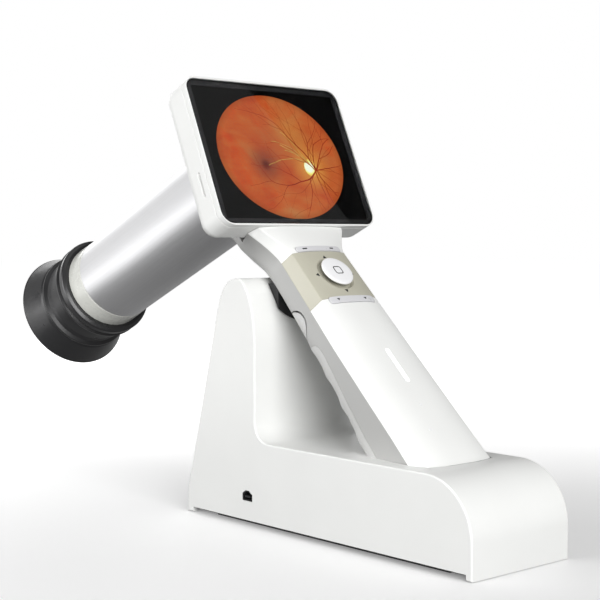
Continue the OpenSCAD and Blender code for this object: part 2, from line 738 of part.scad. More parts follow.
module rear_plate() {
    color([0.12, 0.12, 0.13]) difference() {
        in_barrel_ring(56, barrel_in - 0.05, 9, 3);
        for (s = [-1, 1]) in_barrel(60) translate([0, s * rod_y, 0]) cylinder(r = rod_r + 0.02, h = 5);
        in_barrel(60) translate([screw_x, 0, 0]) cylinder(r = 1.55, h = 5);
    }
}
module guide_rods() {
    color(steel) for (s = [-1, 1]) in_barrel(117.5) translate([0, s * rod_y, 0]) cylinder(r = rod_r, h = 61);
}
module focus_carriage() {
    color("dimgray") difference() {
        union() {
            in_barrel(94) ring(13.5, 9.6, 14);
            in_barrel(90) difference() {
                rounded_plate(41, 8, 3.5, 6);
                translate([-22, 0, -1]) cube([28, 20, 20], center = true);
                translate([0, 0, -1]) cylinder(r = 12, h = 8);
            }
            in_barrel(94) for (s = [-1, 1]) translate([0, s * rod_y, 0]) cylinder(r = 3, h = 12);
            in_barrel(92) translate([0, 0, 0]) difference() {
                cube([5, 34, 8], center = true);
                cylinder(r = 12, h = 20, center = true);
            }
        }
        for (s = [-1, 1]) in_barrel(100) translate([0, s * rod_y, 0]) cylinder(r = rod_r + 0.06, h = 30);
        in_barrel(100) translate([screw_x, 0, 0]) cylinder(r = 1.56, h = 30);
    }
}
module focus_lens() color(glass_tint) in_barrel(86) lens(9.55, 2.4, 1.6);
module lead_screw() {
    color(steel) in_barrel(117) translate([screw_x, 0, 0]) cylinder(r = 1.5, h = 66);
}
module focus_motor() {
    color(steel) in_barrel(50.9) translate([screw_x, 0, 0]) difference() {
        cylinder(r = 5.4, h = 12);
        translate([0, 0, -1]) cylinder(r = 1.56, h = 20);
    }
}
module image_sensor_board() {
    color(board_green) union() {
        in_barrel(46) rounded_plate(20, 20, 1, 1.6);
        in_barrel(47.5) rounded_plate(11, 13, 0.6, 1.7);
    }
}

dock_shell();
dock_base_plate();
anti_slip_mat();
ballast_plate();
dock_screws();
cradle_pad();
charging_board();
charge_port();
contact_carrier();
charge_pin_left();
charge_pin_right();
neck_cover();
keypad_bezel();
front_shell();
rear_shell();
grip_insert();
end_cap();
contact_pads();
light_guide();
indicator_lenses();
handle_screws();
handle_board();
keypad_board();
battery_pack();
neck_bracket();
upper_key();
lower_key();
nav_switch();
nav_stem();
nav_gimbal();
nav_disc();
trigger();
trigger_spring();
trigger_switch();
screen_bezel();
head_shell();
cover_glass();
display_panel();
head_board();
card_socket();
memory_card();
barrel_tube();
barrel_screws();
nose_ring();
objective_lens();
lens_retainer();
adapter_ring();
rubber_eyecup();
illumination_board();
relay_mount();
relay_lens();
guide_rods();
focus_carriage();
focus_lens();
lead_screw();
focus_motor();
rear_plate();
image_sensor_board();
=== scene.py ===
"""Looks of a handheld digital ophthalmoscope standing in its charging dock.

Every length below is in millimetres, in one of three frames: the row frame, the screen head's
frame (z out of the screen, x down it) and the handle's frame (x down the handle, z out of its
front face). The same driving values shape the CAD part.
"""

import math
import random

import bmesh
import bpy
import numpy as np
from mathutils import Matrix, Vector


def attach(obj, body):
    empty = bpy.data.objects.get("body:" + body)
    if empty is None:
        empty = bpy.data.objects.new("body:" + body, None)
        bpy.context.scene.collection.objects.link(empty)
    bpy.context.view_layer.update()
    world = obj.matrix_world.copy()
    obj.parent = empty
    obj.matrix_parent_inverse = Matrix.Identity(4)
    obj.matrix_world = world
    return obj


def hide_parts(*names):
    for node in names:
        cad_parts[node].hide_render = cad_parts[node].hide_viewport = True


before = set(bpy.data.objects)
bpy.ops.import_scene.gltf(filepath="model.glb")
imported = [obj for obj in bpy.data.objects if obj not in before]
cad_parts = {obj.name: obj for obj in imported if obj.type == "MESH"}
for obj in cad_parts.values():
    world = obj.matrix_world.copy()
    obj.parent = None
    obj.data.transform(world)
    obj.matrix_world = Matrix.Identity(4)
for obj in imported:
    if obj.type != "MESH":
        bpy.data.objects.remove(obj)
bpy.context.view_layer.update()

MM = 0.001

# Frames of reference -------------------------------------------------
HEAD_AT, HEAD_TILT = (-57.4, 0, 179.8), 24
HANDLE_AT, HANDLE_SLOPE = (-29.9, 0, 131.8), 44.4
BARREL_LIFT = 0.9
HEAD_H, HEAD_W, HEAD_D = 78.4, 99, 20


def shift(x, y, z):
    return Matrix.Translation(Vector((x, y, z)) * MM)


def placed(at, turn):
    return shift(*at) @ Matrix.Rotation(math.radians(turn), 4, "Y")


ROW = Matrix.Identity(4)
HEAD = placed(HEAD_AT, 90 - HEAD_TILT)
BARREL = HEAD @ shift(-BARREL_LIFT, 0, 0)
HANDLE = placed(HANDLE_AT, HANDLE_SLOPE)


# Materials -----------------------------------------------------------
class Paint:
    """A node material that grows one layer at a time on a Principled shader."""

    def __init__(self, name, color, rough, **inputs):
        self.mat = bpy.data.materials.new(name)
        self.mat.use_nodes = True
        self.tree = self.mat.node_tree
        self.shader = self.tree.nodes["Principled BSDF"]
        self.shader.inputs["Base Color"].default_value = (*color, 1)
        self.shader.inputs["Roughness"].default_value = rough
        for key, value in inputs.items():
            self.shader.inputs[key.replace("_", " ")].default_value = value
        self.color = color
        self.rough = rough
        self.height = None
        self.coords = self.node("ShaderNodeTexCoord").outputs["Object"]

    def node(self, kind, **settings):
        made = self.tree.nodes.new(kind)
        for key, value in settings.items():
            setattr(made, key, value)
        return made

    def link(self, a, b):
        self.tree.links.new(a, b)

    def stretched(self, scale):
        mapping = self.node("ShaderNodeMapping")
        mapping.inputs["Scale"].default_value = scale
        self.link(self.coords, mapping.inputs["Vector"])
        return mapping.outputs["Vector"]

    def noise(self, scale, detail=4, stretch=(1, 1, 1), distortion=0):
        made = self.node("ShaderNodeTexNoise")
        made.inputs["Scale"].default_value = scale
        made.inputs["Detail"].default_value = detail
        made.inputs["Distortion"].default_value = distortion
        self.link(self.stretched(stretch), made.inputs["Vector"])
        return made.outputs["Fac"]

    def ramp(self, fac, stops):
        made = self.node("ShaderNodeValToRGB")
        ramp = made.color_ramp
        while len(ramp.elements) < len(stops):
            ramp.elements.new(0.5)
        for element, (pos, color) in zip(ramp.elements, stops):
            element.position = pos
            element.color = (*color, 1)
        self.link(fac, made.inputs["Fac"])
        return made.outputs["Color"]

    def remap(self, fac, start, end, low, high, curve="LINEAR"):
        """Turns 'fac' between start and end into a value between low and high."""
        made = self.node("ShaderNodeMapRange", interpolation_type=curve)
        ends = {"From Min": start, "From Max": end, "To Min": low, "To Max": high}
        for key, value in ends.items():
            made.inputs[key].default_value = value
        self.link(fac, made.inputs["Value"])
        return made.outputs["Result"]

    def distance(self, at, weights=(1, 1, 1)):
        """Distance in metres from the point 'at', with each axis weighted."""
        away = self.node("ShaderNodeVectorMath", operation="SUBTRACT")
        away.inputs[1].default_value = at
        self.link(self.coords, away.inputs[0])
        scaled = self.node("ShaderNodeVectorMath", operation="MULTIPLY")
        scaled.inputs[1].default_value = weights
        self.link(away.outputs[0], scaled.inputs[0])
        length = self.node("ShaderNodeVectorMath", operation="LENGTH")
        self.link(scaled.outputs[0], length.inputs[0])
        return length.outputs["Value"]

    def mottle(self, scale, amount, stretch=(1, 1, 1)):
        """Slow colour change about the base colour."""
        low = tuple(max(0, c * (1 - amount)) for c in self.color)
        high = tuple(min(1, c * (1 + amount)) for c in self.color)
        fac = self.noise(scale, 3, stretch)
        self.link(self.ramp(fac, [(0.3, low), (0.7, high)]), self.shader.inputs["Base Color"])
        return self

    def uneven_gloss(self, scale, amount, stretch=(1, 1, 1)):
        fac = self.noise(scale, 4, stretch)
        rough = self.remap(fac, 0.3, 0.7, self.rough - amount, self.rough + amount)
        self.link(rough, self.shader.inputs["Roughness"])
        return self

    def bump(self, fac, depth):
        """Adds a bump layer; depth is in metres."""
        made = self.node("ShaderNodeBump")
        made.inputs["Distance"].default_value = depth
        self.link(fac, made.inputs["Height"])
        if self.height:
            self.link(self.height, made.inputs["Normal"])
        self.height = made.outputs["Normal"]
        self.link(self.height, self.shader.inputs["Normal"])
        return self

    def grain(self, scale, depth, stretch=(1, 1, 1), detail=3):
        return self.bump(self.noise(scale, detail, stretch), depth)


def moulded(name, color, rough, grain=9000, depth=1.5e-5):
    """Moulded plastic: fine spark texture, faint flow marks and handling gloss."""
    paint = Paint(name, color, rough, Coat_Weight=0.12, Coat_Roughness=0.25)
    paint.mottle(28, 0.012).uneven_gloss(60, 0.045).grain(grain, depth).grain(220, 2.5e-5)
    return paint.mat


def glossy(name, color, rough):
    paint = Paint(name, color, rough, Coat_Weight=0.5, Coat_Roughness=0.06)
    paint.mottle(60, 0.01).uneven_gloss(150, 0.03).grain(500, 1e-5)
    return paint.mat


def rubber(name, color, rough):
    """Moulded rubber: a soft sheen, dusty gloss changes and a very fine grain."""
    paint = Paint(name, color, rough, Sheen_Weight=0.15, Sheen_Roughness=0.4)
    paint.mottle(45, 0.18).uneven_gloss(80, 0.07).grain(5200, 2e-5).grain(260, 3e-5)
    return paint.mat


def brushed(name, color, rough, stretch, anisotropy):
    """Drawn metal: fine lines across one direction, with gloss that follows them."""
    paint = Paint(name, color, rough, Metallic=1.0, Anisotropic=anisotropy)
    paint.mottle(900, 0.02, stretch).uneven_gloss(1400, 0.03, stretch)
    paint.grain(2600, 1.5e-6, stretch, 5)
    return paint.mat


def machined(name, color, rough):
    paint = Paint(name, color, rough, Metallic=1.0)
    paint.mottle(300, 0.06).uneven_gloss(500, 0.06).grain(1800, 8e-6)
    return paint.mat


def circuit(name):
    """Green solder mask over routed copper."""
    paint = Paint(name, (0.02, 0.16, 0.07), 0.35, Coat_Weight=0.4)
    tracks = paint.node("ShaderNodeTexBrick")
    tracks.inputs["Scale"].default_value = 260
    tracks.inputs["Mortar Size"].default_value = 0.04
    tracks.inputs["Color1"].default_value = (0.02, 0.17, 0.07, 1)
    tracks.inputs["Color2"].default_value = (0.025, 0.2, 0.09, 1)
    tracks.inputs["Mortar"].default_value = (0.07, 0.3, 0.12, 1)
    paint.link(paint.coords, tracks.inputs["Vector"])
    paint.link(tracks.outputs["Color"], paint.shader.inputs["Base Color"])
    paint.bump(tracks.outputs["Fac"], 3e-5)
    return paint.mat


def clear_glass(name, color, rough):
    paint = Paint(name, color, rough, Transmission_Weight=1.0, IOR=1.5)
    paint.grain(90, 2e-6)
    return paint.mat


def matt_black(name, tone):
    paint = Paint(name, (tone, tone, tone * 1.05), 0.5, Specular_IOR_Level=0.1)
    return paint.mottle(40, 0.08).grain(4000, 5e-6).mat


def pale_light(name):
    """A white light guide that glows softly."""
    paint = Paint(name, (0.9, 0.9, 0.9), 0.3, Coat_Weight=0.3, Emission_Strength=0.9)
    paint.shader.inputs["Emission Color"].default_value = (1, 1, 1, 1)
    paint.mottle(300, 0.02).grain(800, 1e-5)
    return paint.mat


WHITE = moulded("white_shell", (0.82, 0.825, 0.81), 0.36)
SOFT_WHITE = moulded("white_grip", (0.6, 0.6, 0.59), 0.42, 6000, 2.5e-5)
# Painted shade: the rear cover is a darker grey copy of the white shell, standing in for the shadow on its
# flank
REAR_SHADE_GREY = moulded("rear_shade_grey", (0.46, 0.46, 0.45), 0.38)
BEIGE = moulded("beige_panel", (0.47, 0.455, 0.372), 0.42)
KEY_GREY = moulded("key_strip", (0.64, 0.64, 0.655), 0.3)
CREAM = glossy("cream_ring", (0.68, 0.685, 0.64), 0.28)
DISC_WHITE = glossy("disc_white", (0.88, 0.88, 0.89), 0.16)
RUBBER = rubber("black_rubber", (0.016, 0.016, 0.017), 0.33)
PAD_RUBBER = rubber("pad_rubber", (0.012, 0.012, 0.013), 0.55)
BLACK = moulded("black_plastic", (0.02, 0.02, 0.021), 0.3)
BARREL_METAL = brushed("barrel_metal", (0.78, 0.78, 0.79), 0.4, (1, 1, 0.02), 0.3)
STEEL = machined("steel", (0.55, 0.55, 0.57), 0.32)
GOLD = machined("gold_contact", (0.83, 0.62, 0.25), 0.22)
BOARD = circuit("circuit_board")
LENS = clear_glass("lens_glass", (0.9, 0.96, 0.95), 0.02)
COVER = clear_glass("cover_glass", (1, 1, 1), 0.0)
BATTERY = glossy("battery_sleeve", (0.03, 0.12, 0.32), 0.3)
CARD = moulded("card_grey", (0.62, 0.62, 0.61), 0.4)
INK = moulded("print_ink", (0.015, 0.015, 0.017), 0.5)
LIGHT = pale_light("light_bar")
CLEAR_LAMP = glossy("indicator_lamp", (0.87, 0.87, 0.88), 0.2)


# Mesh tools ----------------------------------------------------------
def piece(name, verts, faces, where, body=None, mat=None, replaces=()):
    """Makes a piece from points in millimetres in the frame 'where'; no body for a tool solid."""
    mesh = bpy.data.meshes.new(name)
    mesh.from_pydata([tuple(c * MM for c in v) for v in verts], [], faces)
    mesh.validate()
    obj = bpy.data.objects.new(name, mesh)
    bpy.context.scene.collection.objects.link(obj)
    obj.matrix_world = where
    tidy_normals(obj)
    return put(obj, body, mat, replaces) if body else obj


def tidy_normals(obj):
    work = bmesh.new()
    work.from_mesh(obj.data)
    bmesh.ops.remove_doubles(work, verts=work.verts, dist=1e-7)
    bmesh.ops.recalc_face_normals(work, faces=work.faces)
    work.to_mesh(obj.data)
    work.free()


def put(obj, body, mat, replaces=()):
    """Gives a piece its material and says which body it rides and which nodes it stands for."""
    obj.data.materials.clear()
    obj.data.materials.append(mat)
    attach(obj, body)
    if replaces:
        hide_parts(*replaces)
    return obj


def settle(obj):
    """Applies the object's modifiers to its mesh."""
    bpy.context.view_layer.update()
    graph = bpy.context.evaluated_depsgraph_get()
    made = bpy.data.meshes.new_from_object(obj.evaluated_get(graph))
    obj.modifiers.clear()
    old = obj.data
    obj.data = made
    bpy.data.meshes.remove(old)


def combine(obj, cutter, operation="DIFFERENCE"):
    """Joins, cuts or trims a solid with another, which is used up."""
    mod = obj.modifiers.new(operation.lower(), "BOOLEAN")
    mod.operation = operation
    mod.solver = "EXACT"
    mod.object = cutter
    settle(obj)
    bpy.data.objects.remove(cutter)


def soften(obj, width, segments=3, angle=32):
    """Rounds the sharp edges by 'width' mm and smooths the shading."""
    for poly in obj.data.polygons:
        poly.use_smooth = True
    mod = obj.modifiers.new("edges", "BEVEL")
    mod.width = width * MM
    mod.segments = segments
    mod.limit_method = "ANGLE"
    mod.angle_limit = math.radians(angle)
    mod.harden_normals = False
    mod.use_clamp_overlap = True
    mod.miter_outer = "MITER_ARC"
    weigh = obj.modifiers.new("normals", "WEIGHTED_NORMAL")
    weigh.keep_sharp = True
    return obj


def closed_faces(n):
    """Faces of a solid between two loops of n points, with flat ends."""
    sides = [(i, (i + 1) % n, n + (i + 1) % n, n + i) for i in range(n)]
    return sides + [tuple(reversed(range(n))), tuple(range(n, 2 * n))]


def flat_ring(outer, inner, low, high):
    """Points and faces of a ring between two outlines of equal length."""
    n = len(outer)
    verts = [(x, y, z) for z in (low, high) for loop in (outer, inner) for x, y in loop]
    faces = []
    for i in range(n):
        k = (i + 1) % n
        faces += [(i, k, n + k, n + i), (2 * n + i, 3 * n + i, 3 * n + k, 2 * n + k),
                  (i, 2 * n + i, 2 * n + k, k), (n + i, n + k, 3 * n + k, 3 * n + i)]
    return verts, faces


def prism(name, outline, low, high, where=ROW, axes="xy"):
    """Extrudes an outline; axes says which two coordinates the outline gives."""
    def lift(p, h):
        return (p[0], p[1], h) if axes == "xy" else (p[0], h, p[1])
    verts = [lift(p, low) for p in outline] + [lift(p, high) for p in outline]
    return piece(name, verts, closed_faces(len(outline)), where)


def arc(cx, cy, r, a0, a1, n):
    steps = [math.radians(a0 + (a1 - a0) * i / n) for i in range(n + 1)]
    return [(cx + r * math.cos(a), cy + r * math.sin(a)) for a in steps]


def cubic(a, b, c, d, n):
    a, b, c, d = map(Vector, (a, b, c, d))
    out = []
    for i in range(n + 1):
        t = i / n
        u = 1 - t
        out.append(tuple(u ** 3 * a + 3 * u * u * t * b + 3 * u * t * t * c + t ** 3 * d))
    return out


def fillet(points, radii, n=6, closed=False):
    """Rounds each corner of a path; radii is one number or one for each point."""
    pts = [Vector(p) for p in points]
    if not isinstance(radii, (list, tuple)):
        radii = [radii] * len(pts)
    out = []
    for i, (p, r) in enumerate(zip(pts, radii)):
        if r == 0 or (not closed and i in (0, len(pts) - 1)):
            out.append(tuple(p))
            continue
        before, after = pts[i - 1] - p, pts[(i + 1) % len(pts)] - p
        half = before.angle(after) / 2
        if half > math.pi / 2 - 0.02:
            out.append(tuple(p))
            continue
        reach = min(r / math.tan(half), before.length * 0.49, after.length * 0.49)
        a, b = p + before.normalized() * reach, p + after.normalized() * reach
        for k in range(n + 1):
            t = k / n
            out.append(tuple((1 - t) ** 2 * a + 2 * t * (1 - t) * p + t * t * b))
    return out


def rounded_rect(h, w, r, n=10):
    """Outline with x across h and y across w."""
    out = []
    for sx, sy, a in ((1, 1, 0), (-1, 1, 90), (-1, -1, 180), (1, -1, 270)):
        out += arc(sx * (h / 2 - r), sy * (w / 2 - r), r, a, a + 90, n)
    return out


LATHE_STEPS = 144


def lathe(name, profile, where, body, mat, replaces=(), closed=True):
    """Turns (radius, z) points round the frame's z axis."""
    verts, faces = [], []
    n = len(profile)
    for i in range(LATHE_STEPS):
        a = 2 * math.pi * i / LATHE_STEPS
        verts += [(r * math.cos(a), r * math.sin(a), z) for r, z in profile]
    for i in range(LATHE_STEPS):
        j = (i + 1) % LATHE_STEPS
        for k in range(n if closed else n - 1):
            m = (k + 1) % n
            faces.append((i * n + k, j * n + k, j * n + m, i * n + m))
    return piece(name, verts, faces, where, body, mat, replaces)


def stack(name, loops, where, body=None, mat=None, replaces=()):
    """Skins closed loops of equal length into one solid with flat ends."""
    n = len(loops[0])
    verts = [v for loop in loops for v in loop]
    faces = []
    for j in range(len(loops) - 1):
        for i in range(n):
            k = (i + 1) % n
            faces.append((j * n + i, j * n + k, (j + 1) * n + k, (j + 1) * n + i))
    last = (len(loops) - 1) * n
    faces += [tuple(reversed(range(n))), tuple(range(last, last + n))]
    return piece(name, verts, faces, where, body, mat, replaces)


# Handle --------------------------------------------------------------
# Half widths of the front face, shoulder and rear, and the shoulder's depth, down the handle
FRONT_HALF = [(-46, 18), (-32, 20), (-24, 27.5), (-16.7, 27), (-13.2, 24.4), (-9.7, 21.9),
              (-6.7, 19.9), (-3.7, 18.2), (-1.2, 16.9), (29, 17.4), (54, 18), (81, 18.6),
              (106, 19.2), (128, 19.7), (140, 20)]
SHOULDER_HALF = [(-46, 19), (-34, 22), (-27, 29), (-22, 29), (-16.2, 28.2), (-11.7, 24.8),
                 (-7.7, 22.3), (-1.7, 19.5), (29, 19.8), (54, 21.2), (81, 21.6), (106, 21.8),
                 (128, 22.5), (140, 22.8)]
SHOULDER_DEPTH = [(-46, 10.7), (-27, 10.1), (-22, 8.6), (-16, 6.7), (-11.7, 7.2), (-7.7, 7.6),
                  (-1.7, 8.1), (29, 8.9), (54, 8.6), (106, 8.4), (140, 8.4)]
REAR_HALF = [(-46, 18), (-20, 19), (0, 18.7), (40, 19.3), (100, 20.2), (140, 20.8)]
CROWN, REAR_CORNER, WALL = 1.7, 10, 2
NECK_X, NECK_DEPTH, TAIL_X, TAIL_DEPTH = 3, 22.8, 99, 31.37
RIDGES, RIDGE_H, RIDGE_REACH = (42, 57.5, 74, 92), 0.9, 3.2
HANDLE_TOP, NECK_TOP, HANDLE_BOTTOM = -46, -20, 140
PANEL_TOP, PANEL_END, SEAM_GAP = 0.3, 30.3, 0.15
END_Z, END_CAP = 38.2, 2.6


def smoothed(points, spread=1.5):
    """A curve through set values with its kinks eased over 'spread' mm."""
    step, taps = 0.5, 12
    grid = np.arange(-60, 160, step)
    values = np.interp(grid, *zip(*points))
    reach = np.arange(-taps, taps + 1) * step
    weights = np.exp(-(reach / spread) ** 2 / 2)
    eased = np.convolve(np.pad(values, taps, mode="edge"), weights / weights.sum(), "valid")
    return lambda x: float(np.interp(x, grid, eased))


front_half, shoulder_half = smoothed(FRONT_HALF), smoothed(SHOULDER_HALF)
shoulder_depth, rear_half = smoothed(SHOULDER_DEPTH, 2), smoothed(REAR_HALF, 3)


def rear_depth(x):
    """Depth of the handle's rear face: the neck, the ridged grip, then the straight tail."""
    if x < NECK_X:
        return NECK_DEPTH + 0.01045 * (NECK_X - x) ** 1.8
    if x > TAIL_X:
        return TAIL_DEPTH + 0.1 * (x - TAIL_X)
    ridges = sum(RIDGE_H * math.exp(-((x - c) / RIDGE_REACH) ** 2) for c in RIDGES)
    return NECK_DEPTH + 0.02 * (x - NECK_X) + 0.00068 * (x * x - NECK_X ** 2) + ridges


def drop(x, y):
    """How far the crowned front face lies below its middle line."""
    return CROWN * min(1, abs(y) / front_half(x)) ** 3


FLAT_STEPS, EDGE_STEPS, FACET_STEPS, SIDE_STEPS, REAR_STEPS, BEND_STEPS = 12, 5, 3, 8, 7, 10
SEAM = FLAT_STEPS + 2 * EDGE_STEPS + FACET_STEPS


def line(a, b, n):
    """n points from a towards b, without b."""
    return [tuple(Vector(a).lerp(Vector(b), i / n)) for i in range(n)]


def thin(pts, n):
    """Keeps n + 1 evenly spread points of a path."""
    return [pts[round(i * (len(pts) - 1) / n)] for i in range(n + 1)]


def half_ring(x, inset):
    """(y, z) from the middle of the front face round one side to the middle of the rear."""
    wf, ws, wr = front_half(x) - inset * 0.5, shoulder_half(x) - inset, rear_half(x) - inset
    zs, zr = -shoulder_depth(x) - inset * 0.2, -rear_depth(x) + inset
    a, b, c = (wf, -inset - CROWN), (ws, zs), (wr, zr)
    start, end = (0, -inset - CROWN), (0, zr)
    bends = fillet([start, a, b, c, end], [0, 0.7, 1.0, REAR_CORNER - inset, 0], BEND_STEPS)
    bend_a, bend_b, corner = (bends[1 + i * (BEND_STEPS + 1):][:BEND_STEPS + 1] for i in range(3))
    edge_a, edge_b = thin(bend_a, EDGE_STEPS), thin(bend_b, EDGE_STEPS)
    face = [(y, z + CROWN - drop(x, y)) for y, z in line(start, edge_a[0], FLAT_STEPS)]
    edge_a = [(y, z + CROWN - drop(x, min(y, wf)) if y < wf else z) for y, z in edge_a]
    return (face + edge_a[:-1] + line(edge_a[-1], edge_b[0], FACET_STEPS)
            + edge_b[:-1] + line(edge_b[-1], corner[0], SIDE_STEPS) + corner[:-1]
            + line(corner[-1], end, REAR_STEPS) + [end])


def ring(x, inset):
    half = half_ring(x, inset)
    both = half + [(-y, z) for y, z in reversed(half[1:-1])]
    return [(x, y, z) for y, z in both]


RING_POINTS = len(ring(0, 0))


def wall_patch(x0, x1, first, last, thick, name, proud=0.0):
    """A stretch of the handle's wall, from ring point 'first' to 'last', as a closed solid."""
    count = max(2, round(x1 - x0))
    xs = [x0 + (x1 - x0) * i / count for i in range(count + 1)]
    picks = [i % RING_POINTS for i in range(first, last + 1)]
    w, h = len(picks), len(xs)
    verts = []
    for inset in (-proud, thick):
        for x in xs:
            full = ring(x, inset)
            verts += [full[i] for i in picks]
    faces = []
    for side in (0, 1):
        base = side * w * h
        for j in range(h - 1):
            for i in range(w - 1):
                a = base + j * w + i
                faces.append((a, a + 1, a + w + 1, a + w))
    rim = ([(0, i) for i in range(w)] + [(j, w - 1) for j in range(1, h)]
           + [(h - 1, i) for i in range(w - 2, -1, -1)] + [(j, 0) for j in range(h - 2, 0, -1)])
    for (j0, i0), (j1, i1) in zip(rim, rim[1:] + rim[:1]):
        a, b = j0 * w + i0, j1 * w + i1
        faces.append((a, b, b + w * h, a + w * h))
    return piece(name, verts, faces, HANDLE)


def below_end():
    """Everything below the shells' slanted end."""
    top = END_Z + END_CAP
    return across("below", rectangle(-300, -300, 300, top), 80)


def head_cutter():
    loop = rounded_rect(HEAD_H + 0.3, HEAD_W + 0.3, 7.6)
    return prism("head_cut", loop, -HEAD_D - 0.15, 20, HEAD)


def barrel_cutter():
    return prism("barrel_cut", arc(0, 0, 24.6, 0, 357.5, 143), -140, 0, BARREL)


STRIP_W, STRIP_X = {"upper": 3.2, "lower": 3.9}, {"upper": -1.4, "lower": 31.9}
STRIP_LEN, STRIP_GAP = 28, 0.25
NAV_X, DISH_R, DISH_DEPTH = 15.4, 10, 1.9


def strip_outline(which, gap=0.0):
    w = STRIP_W[which]
    loop = rounded_rect(w + 2 * gap, STRIP_LEN + 2 * gap, 1.2 + gap, 6)
    return [(x + STRIP_X[which], y) for x, y in loop]


def strip_cutter(which):
    return prism("strip_cut", strip_outline(which, STRIP_GAP), -4, 4, HANDLE)


def ellipse(cx, cz, rx, rz, n=72):
    return [(cx + rx * math.cos(2 * math.pi * i / n), cz + rz * math.sin(2 * math.pi * i / n))
            for i in range(n)]


TRIGGER_AT, TRIGGER_R, TRIGGER_TRAVEL = (28.5, -26), (8.7, 10.6), 0.8


def trigger_prism(gap, travel=0.0):
    """The trigger's oval, wider by 'gap' and with room above it for 'travel'."""
    oval = ellipse(*TRIGGER_AT, TRIGGER_R[0] + gap, TRIGGER_R[1] + gap)
    oval = [(x, z + travel if z > TRIGGER_AT[1] else z) for x, z in oval]
    return prism("trigger_cut", oval, -40, 40, HANDLE, "xz")


def insert_prism(gap):
    """The region of the rear grip insert, wider by 'gap'."""
    edge = ([(46 + gap, -60), (41.5 - gap, -30)]
            + cubic((41.5 - gap, -24), (42 - gap, -17.5 + gap), (46, -16 + gap), (52, -16.6 + gap), 14)
            + [(59.7, -17.5 + gap), (79.2, -20.4 + gap), (92.1, -21.8 + gap),
               (106.6, -22.7 + gap), (130 + gap, -24.5 + gap), (150, -26), (150, -60)])
    return prism("insert_cut", edge, -40, 40, HANDLE, "xz")


LIGHT_X, LIGHT_W = (63.3, 83.1), 2.2
DOTS, DOT_R = ((96.6, -2.3), (110.3, -6.6)), 0.7


def light_outline(gap):
    mid = sum(LIGHT_X) / 2
    loop = rounded_rect(LIGHT_X[1] - LIGHT_X[0] + 2 * gap, LIGHT_W + 2 * gap, LIGHT_W / 2, 8)
    return [(x + mid, y) for x, y in loop]


def make_front():
    """The neck cover, the keypad's panel and the front cover, split by thin seams."""
    neck = wall_patch(NECK_TOP, PANEL_TOP - SEAM_GAP, -SEAM, SEAM, WALL, "neck_cover_shell")
    combine(neck, head_cutter())
    combine(neck, strip_cutter("upper"))
    soften(put(neck, "handset", WHITE, ["neck_cover"]), 0.22)

    panel = wall_patch(PANEL_TOP, PANEL_END, -SEAM, SEAM, WALL, "keypad_panel")
    combine(panel, prism("dish_cut", arc(NAV_X, 0, DISH_R, 0, 357, 119), -8, 8, HANDLE))
    combine(panel, strip_cutter("upper"))
    combine(panel, strip_cutter("lower"))
    soften(put(panel, "handset", BEIGE, ["keypad_bezel"]), 0.18)

    front = wall_patch(PANEL_END + SEAM_GAP, HANDLE_BOTTOM, -SEAM, SEAM, WALL, "front_cover")
    combine(front, strip_cutter("lower"))
    combine(front, prism("light_cut", light_outline(0.05), -4, 4, HANDLE))
    for x, y in DOTS:
        combine(front, prism("dot_cut", arc(x, y, DOT_R + 0.05, 0, 345, 23), -4, 4, HANDLE))
    combine(front, below_end())
    soften(put(front, "handset", WHITE, ["front_shell"]), 0.22)


def make_rear():
    """The rear cover, with the trigger and the grip insert let into it."""
    ends = (SEAM, RING_POINTS - SEAM)
    rear = wall_patch(HANDLE_TOP, HANDLE_BOTTOM, *ends, WALL, "rear_cover")
    insert = wall_patch(40, HANDLE_BOTTOM, *ends, WALL, "grip_panel")
    combine(insert, insert_prism(0), "INTERSECT")
    combine(insert, below_end())
    soften(put(insert, "handset", SOFT_WHITE, ["grip_insert"]), 0.3)

    trigger = wall_patch(15, 40, *ends, 3, "trigger_key")
    combine(trigger, trigger_prism(0), "INTERSECT")
    soften(put(trigger, "trigger", SOFT_WHITE, ["trigger"]), 0.35)

    combine(rear, insert_prism(0.15))
    combine(rear, trigger_prism(0.3, TRIGGER_TRAVEL))
    combine(rear, head_cutter())
    combine(rear, barrel_cutter())
    combine(rear, below_end())
    # The rear cover takes the painted-shade grey
    soften(put(rear, "handset", REAR_SHADE_GREY, ["rear_shell"]), 0.22)


# Keys ----------------------------------------------------------------
def domed_plate(name, outline_at, heights, where, body, mat, replaces=()):
    """Stacks an outline at given (inset, height) steps."""
    loops = [[(x, y, z) for x, y in outline_at(inset)] for inset, z in heights]
    return stack(name, loops, where, body, mat, replaces)


def rounding(top, r, n=5):
    """(inset, height) steps of a rounded top edge."""
    return [(r * (1 - math.cos(math.radians(90 * i / n))),
             top - r + r * math.sin(math.radians(90 * i / n))) for i in range(n + 1)]


KEY_PROUD, KEY_LOW = 0.45, 2.4
NAV_R, NAV_TOP, NAV_THICK, NAV_EDGE = 8.5, 2.6, 3.4, 0.8


def make_key_strip(which):
    """A key that follows the crowned face, standing a little proud of it."""
    x, half_w = STRIP_X[which], STRIP_W[which] / 2
    strip = wall_patch(x - half_w - 1, x + half_w + 1, -FLAT_STEPS, FLAT_STEPS, KEY_LOW,
                       which + "_strip", KEY_PROUD)
    combine(strip, prism("strip_edge", strip_outline(which), -4, 4, HANDLE), "INTERSECT")
    put(strip, which + "_key", KEY_GREY, [which + "_key"])
    soften(strip, 0.28, 4)


def make_nav_disc():
    r, top, low, edge = NAV_R, NAV_TOP, NAV_TOP - NAV_THICK, NAV_EDGE
    rim = arc(r - edge, top - 0.95, edge, -60, 60, 10)
    profile = [(0.001, low), (5.4, low), (5.6, low + 0.2), (5.6, low + 1.3), (r - 1.3, low + 1.6)] + rim
    profile += [(r - 1.7, top - 0.1), (r - 4, top - 0.04), (0.001, top)]
    lathe("nav_cap", profile, HANDLE @ shift(NAV_X, 0, 0), "nav_disc", DISC_WHITE,
          ["nav_disc"], closed=False)


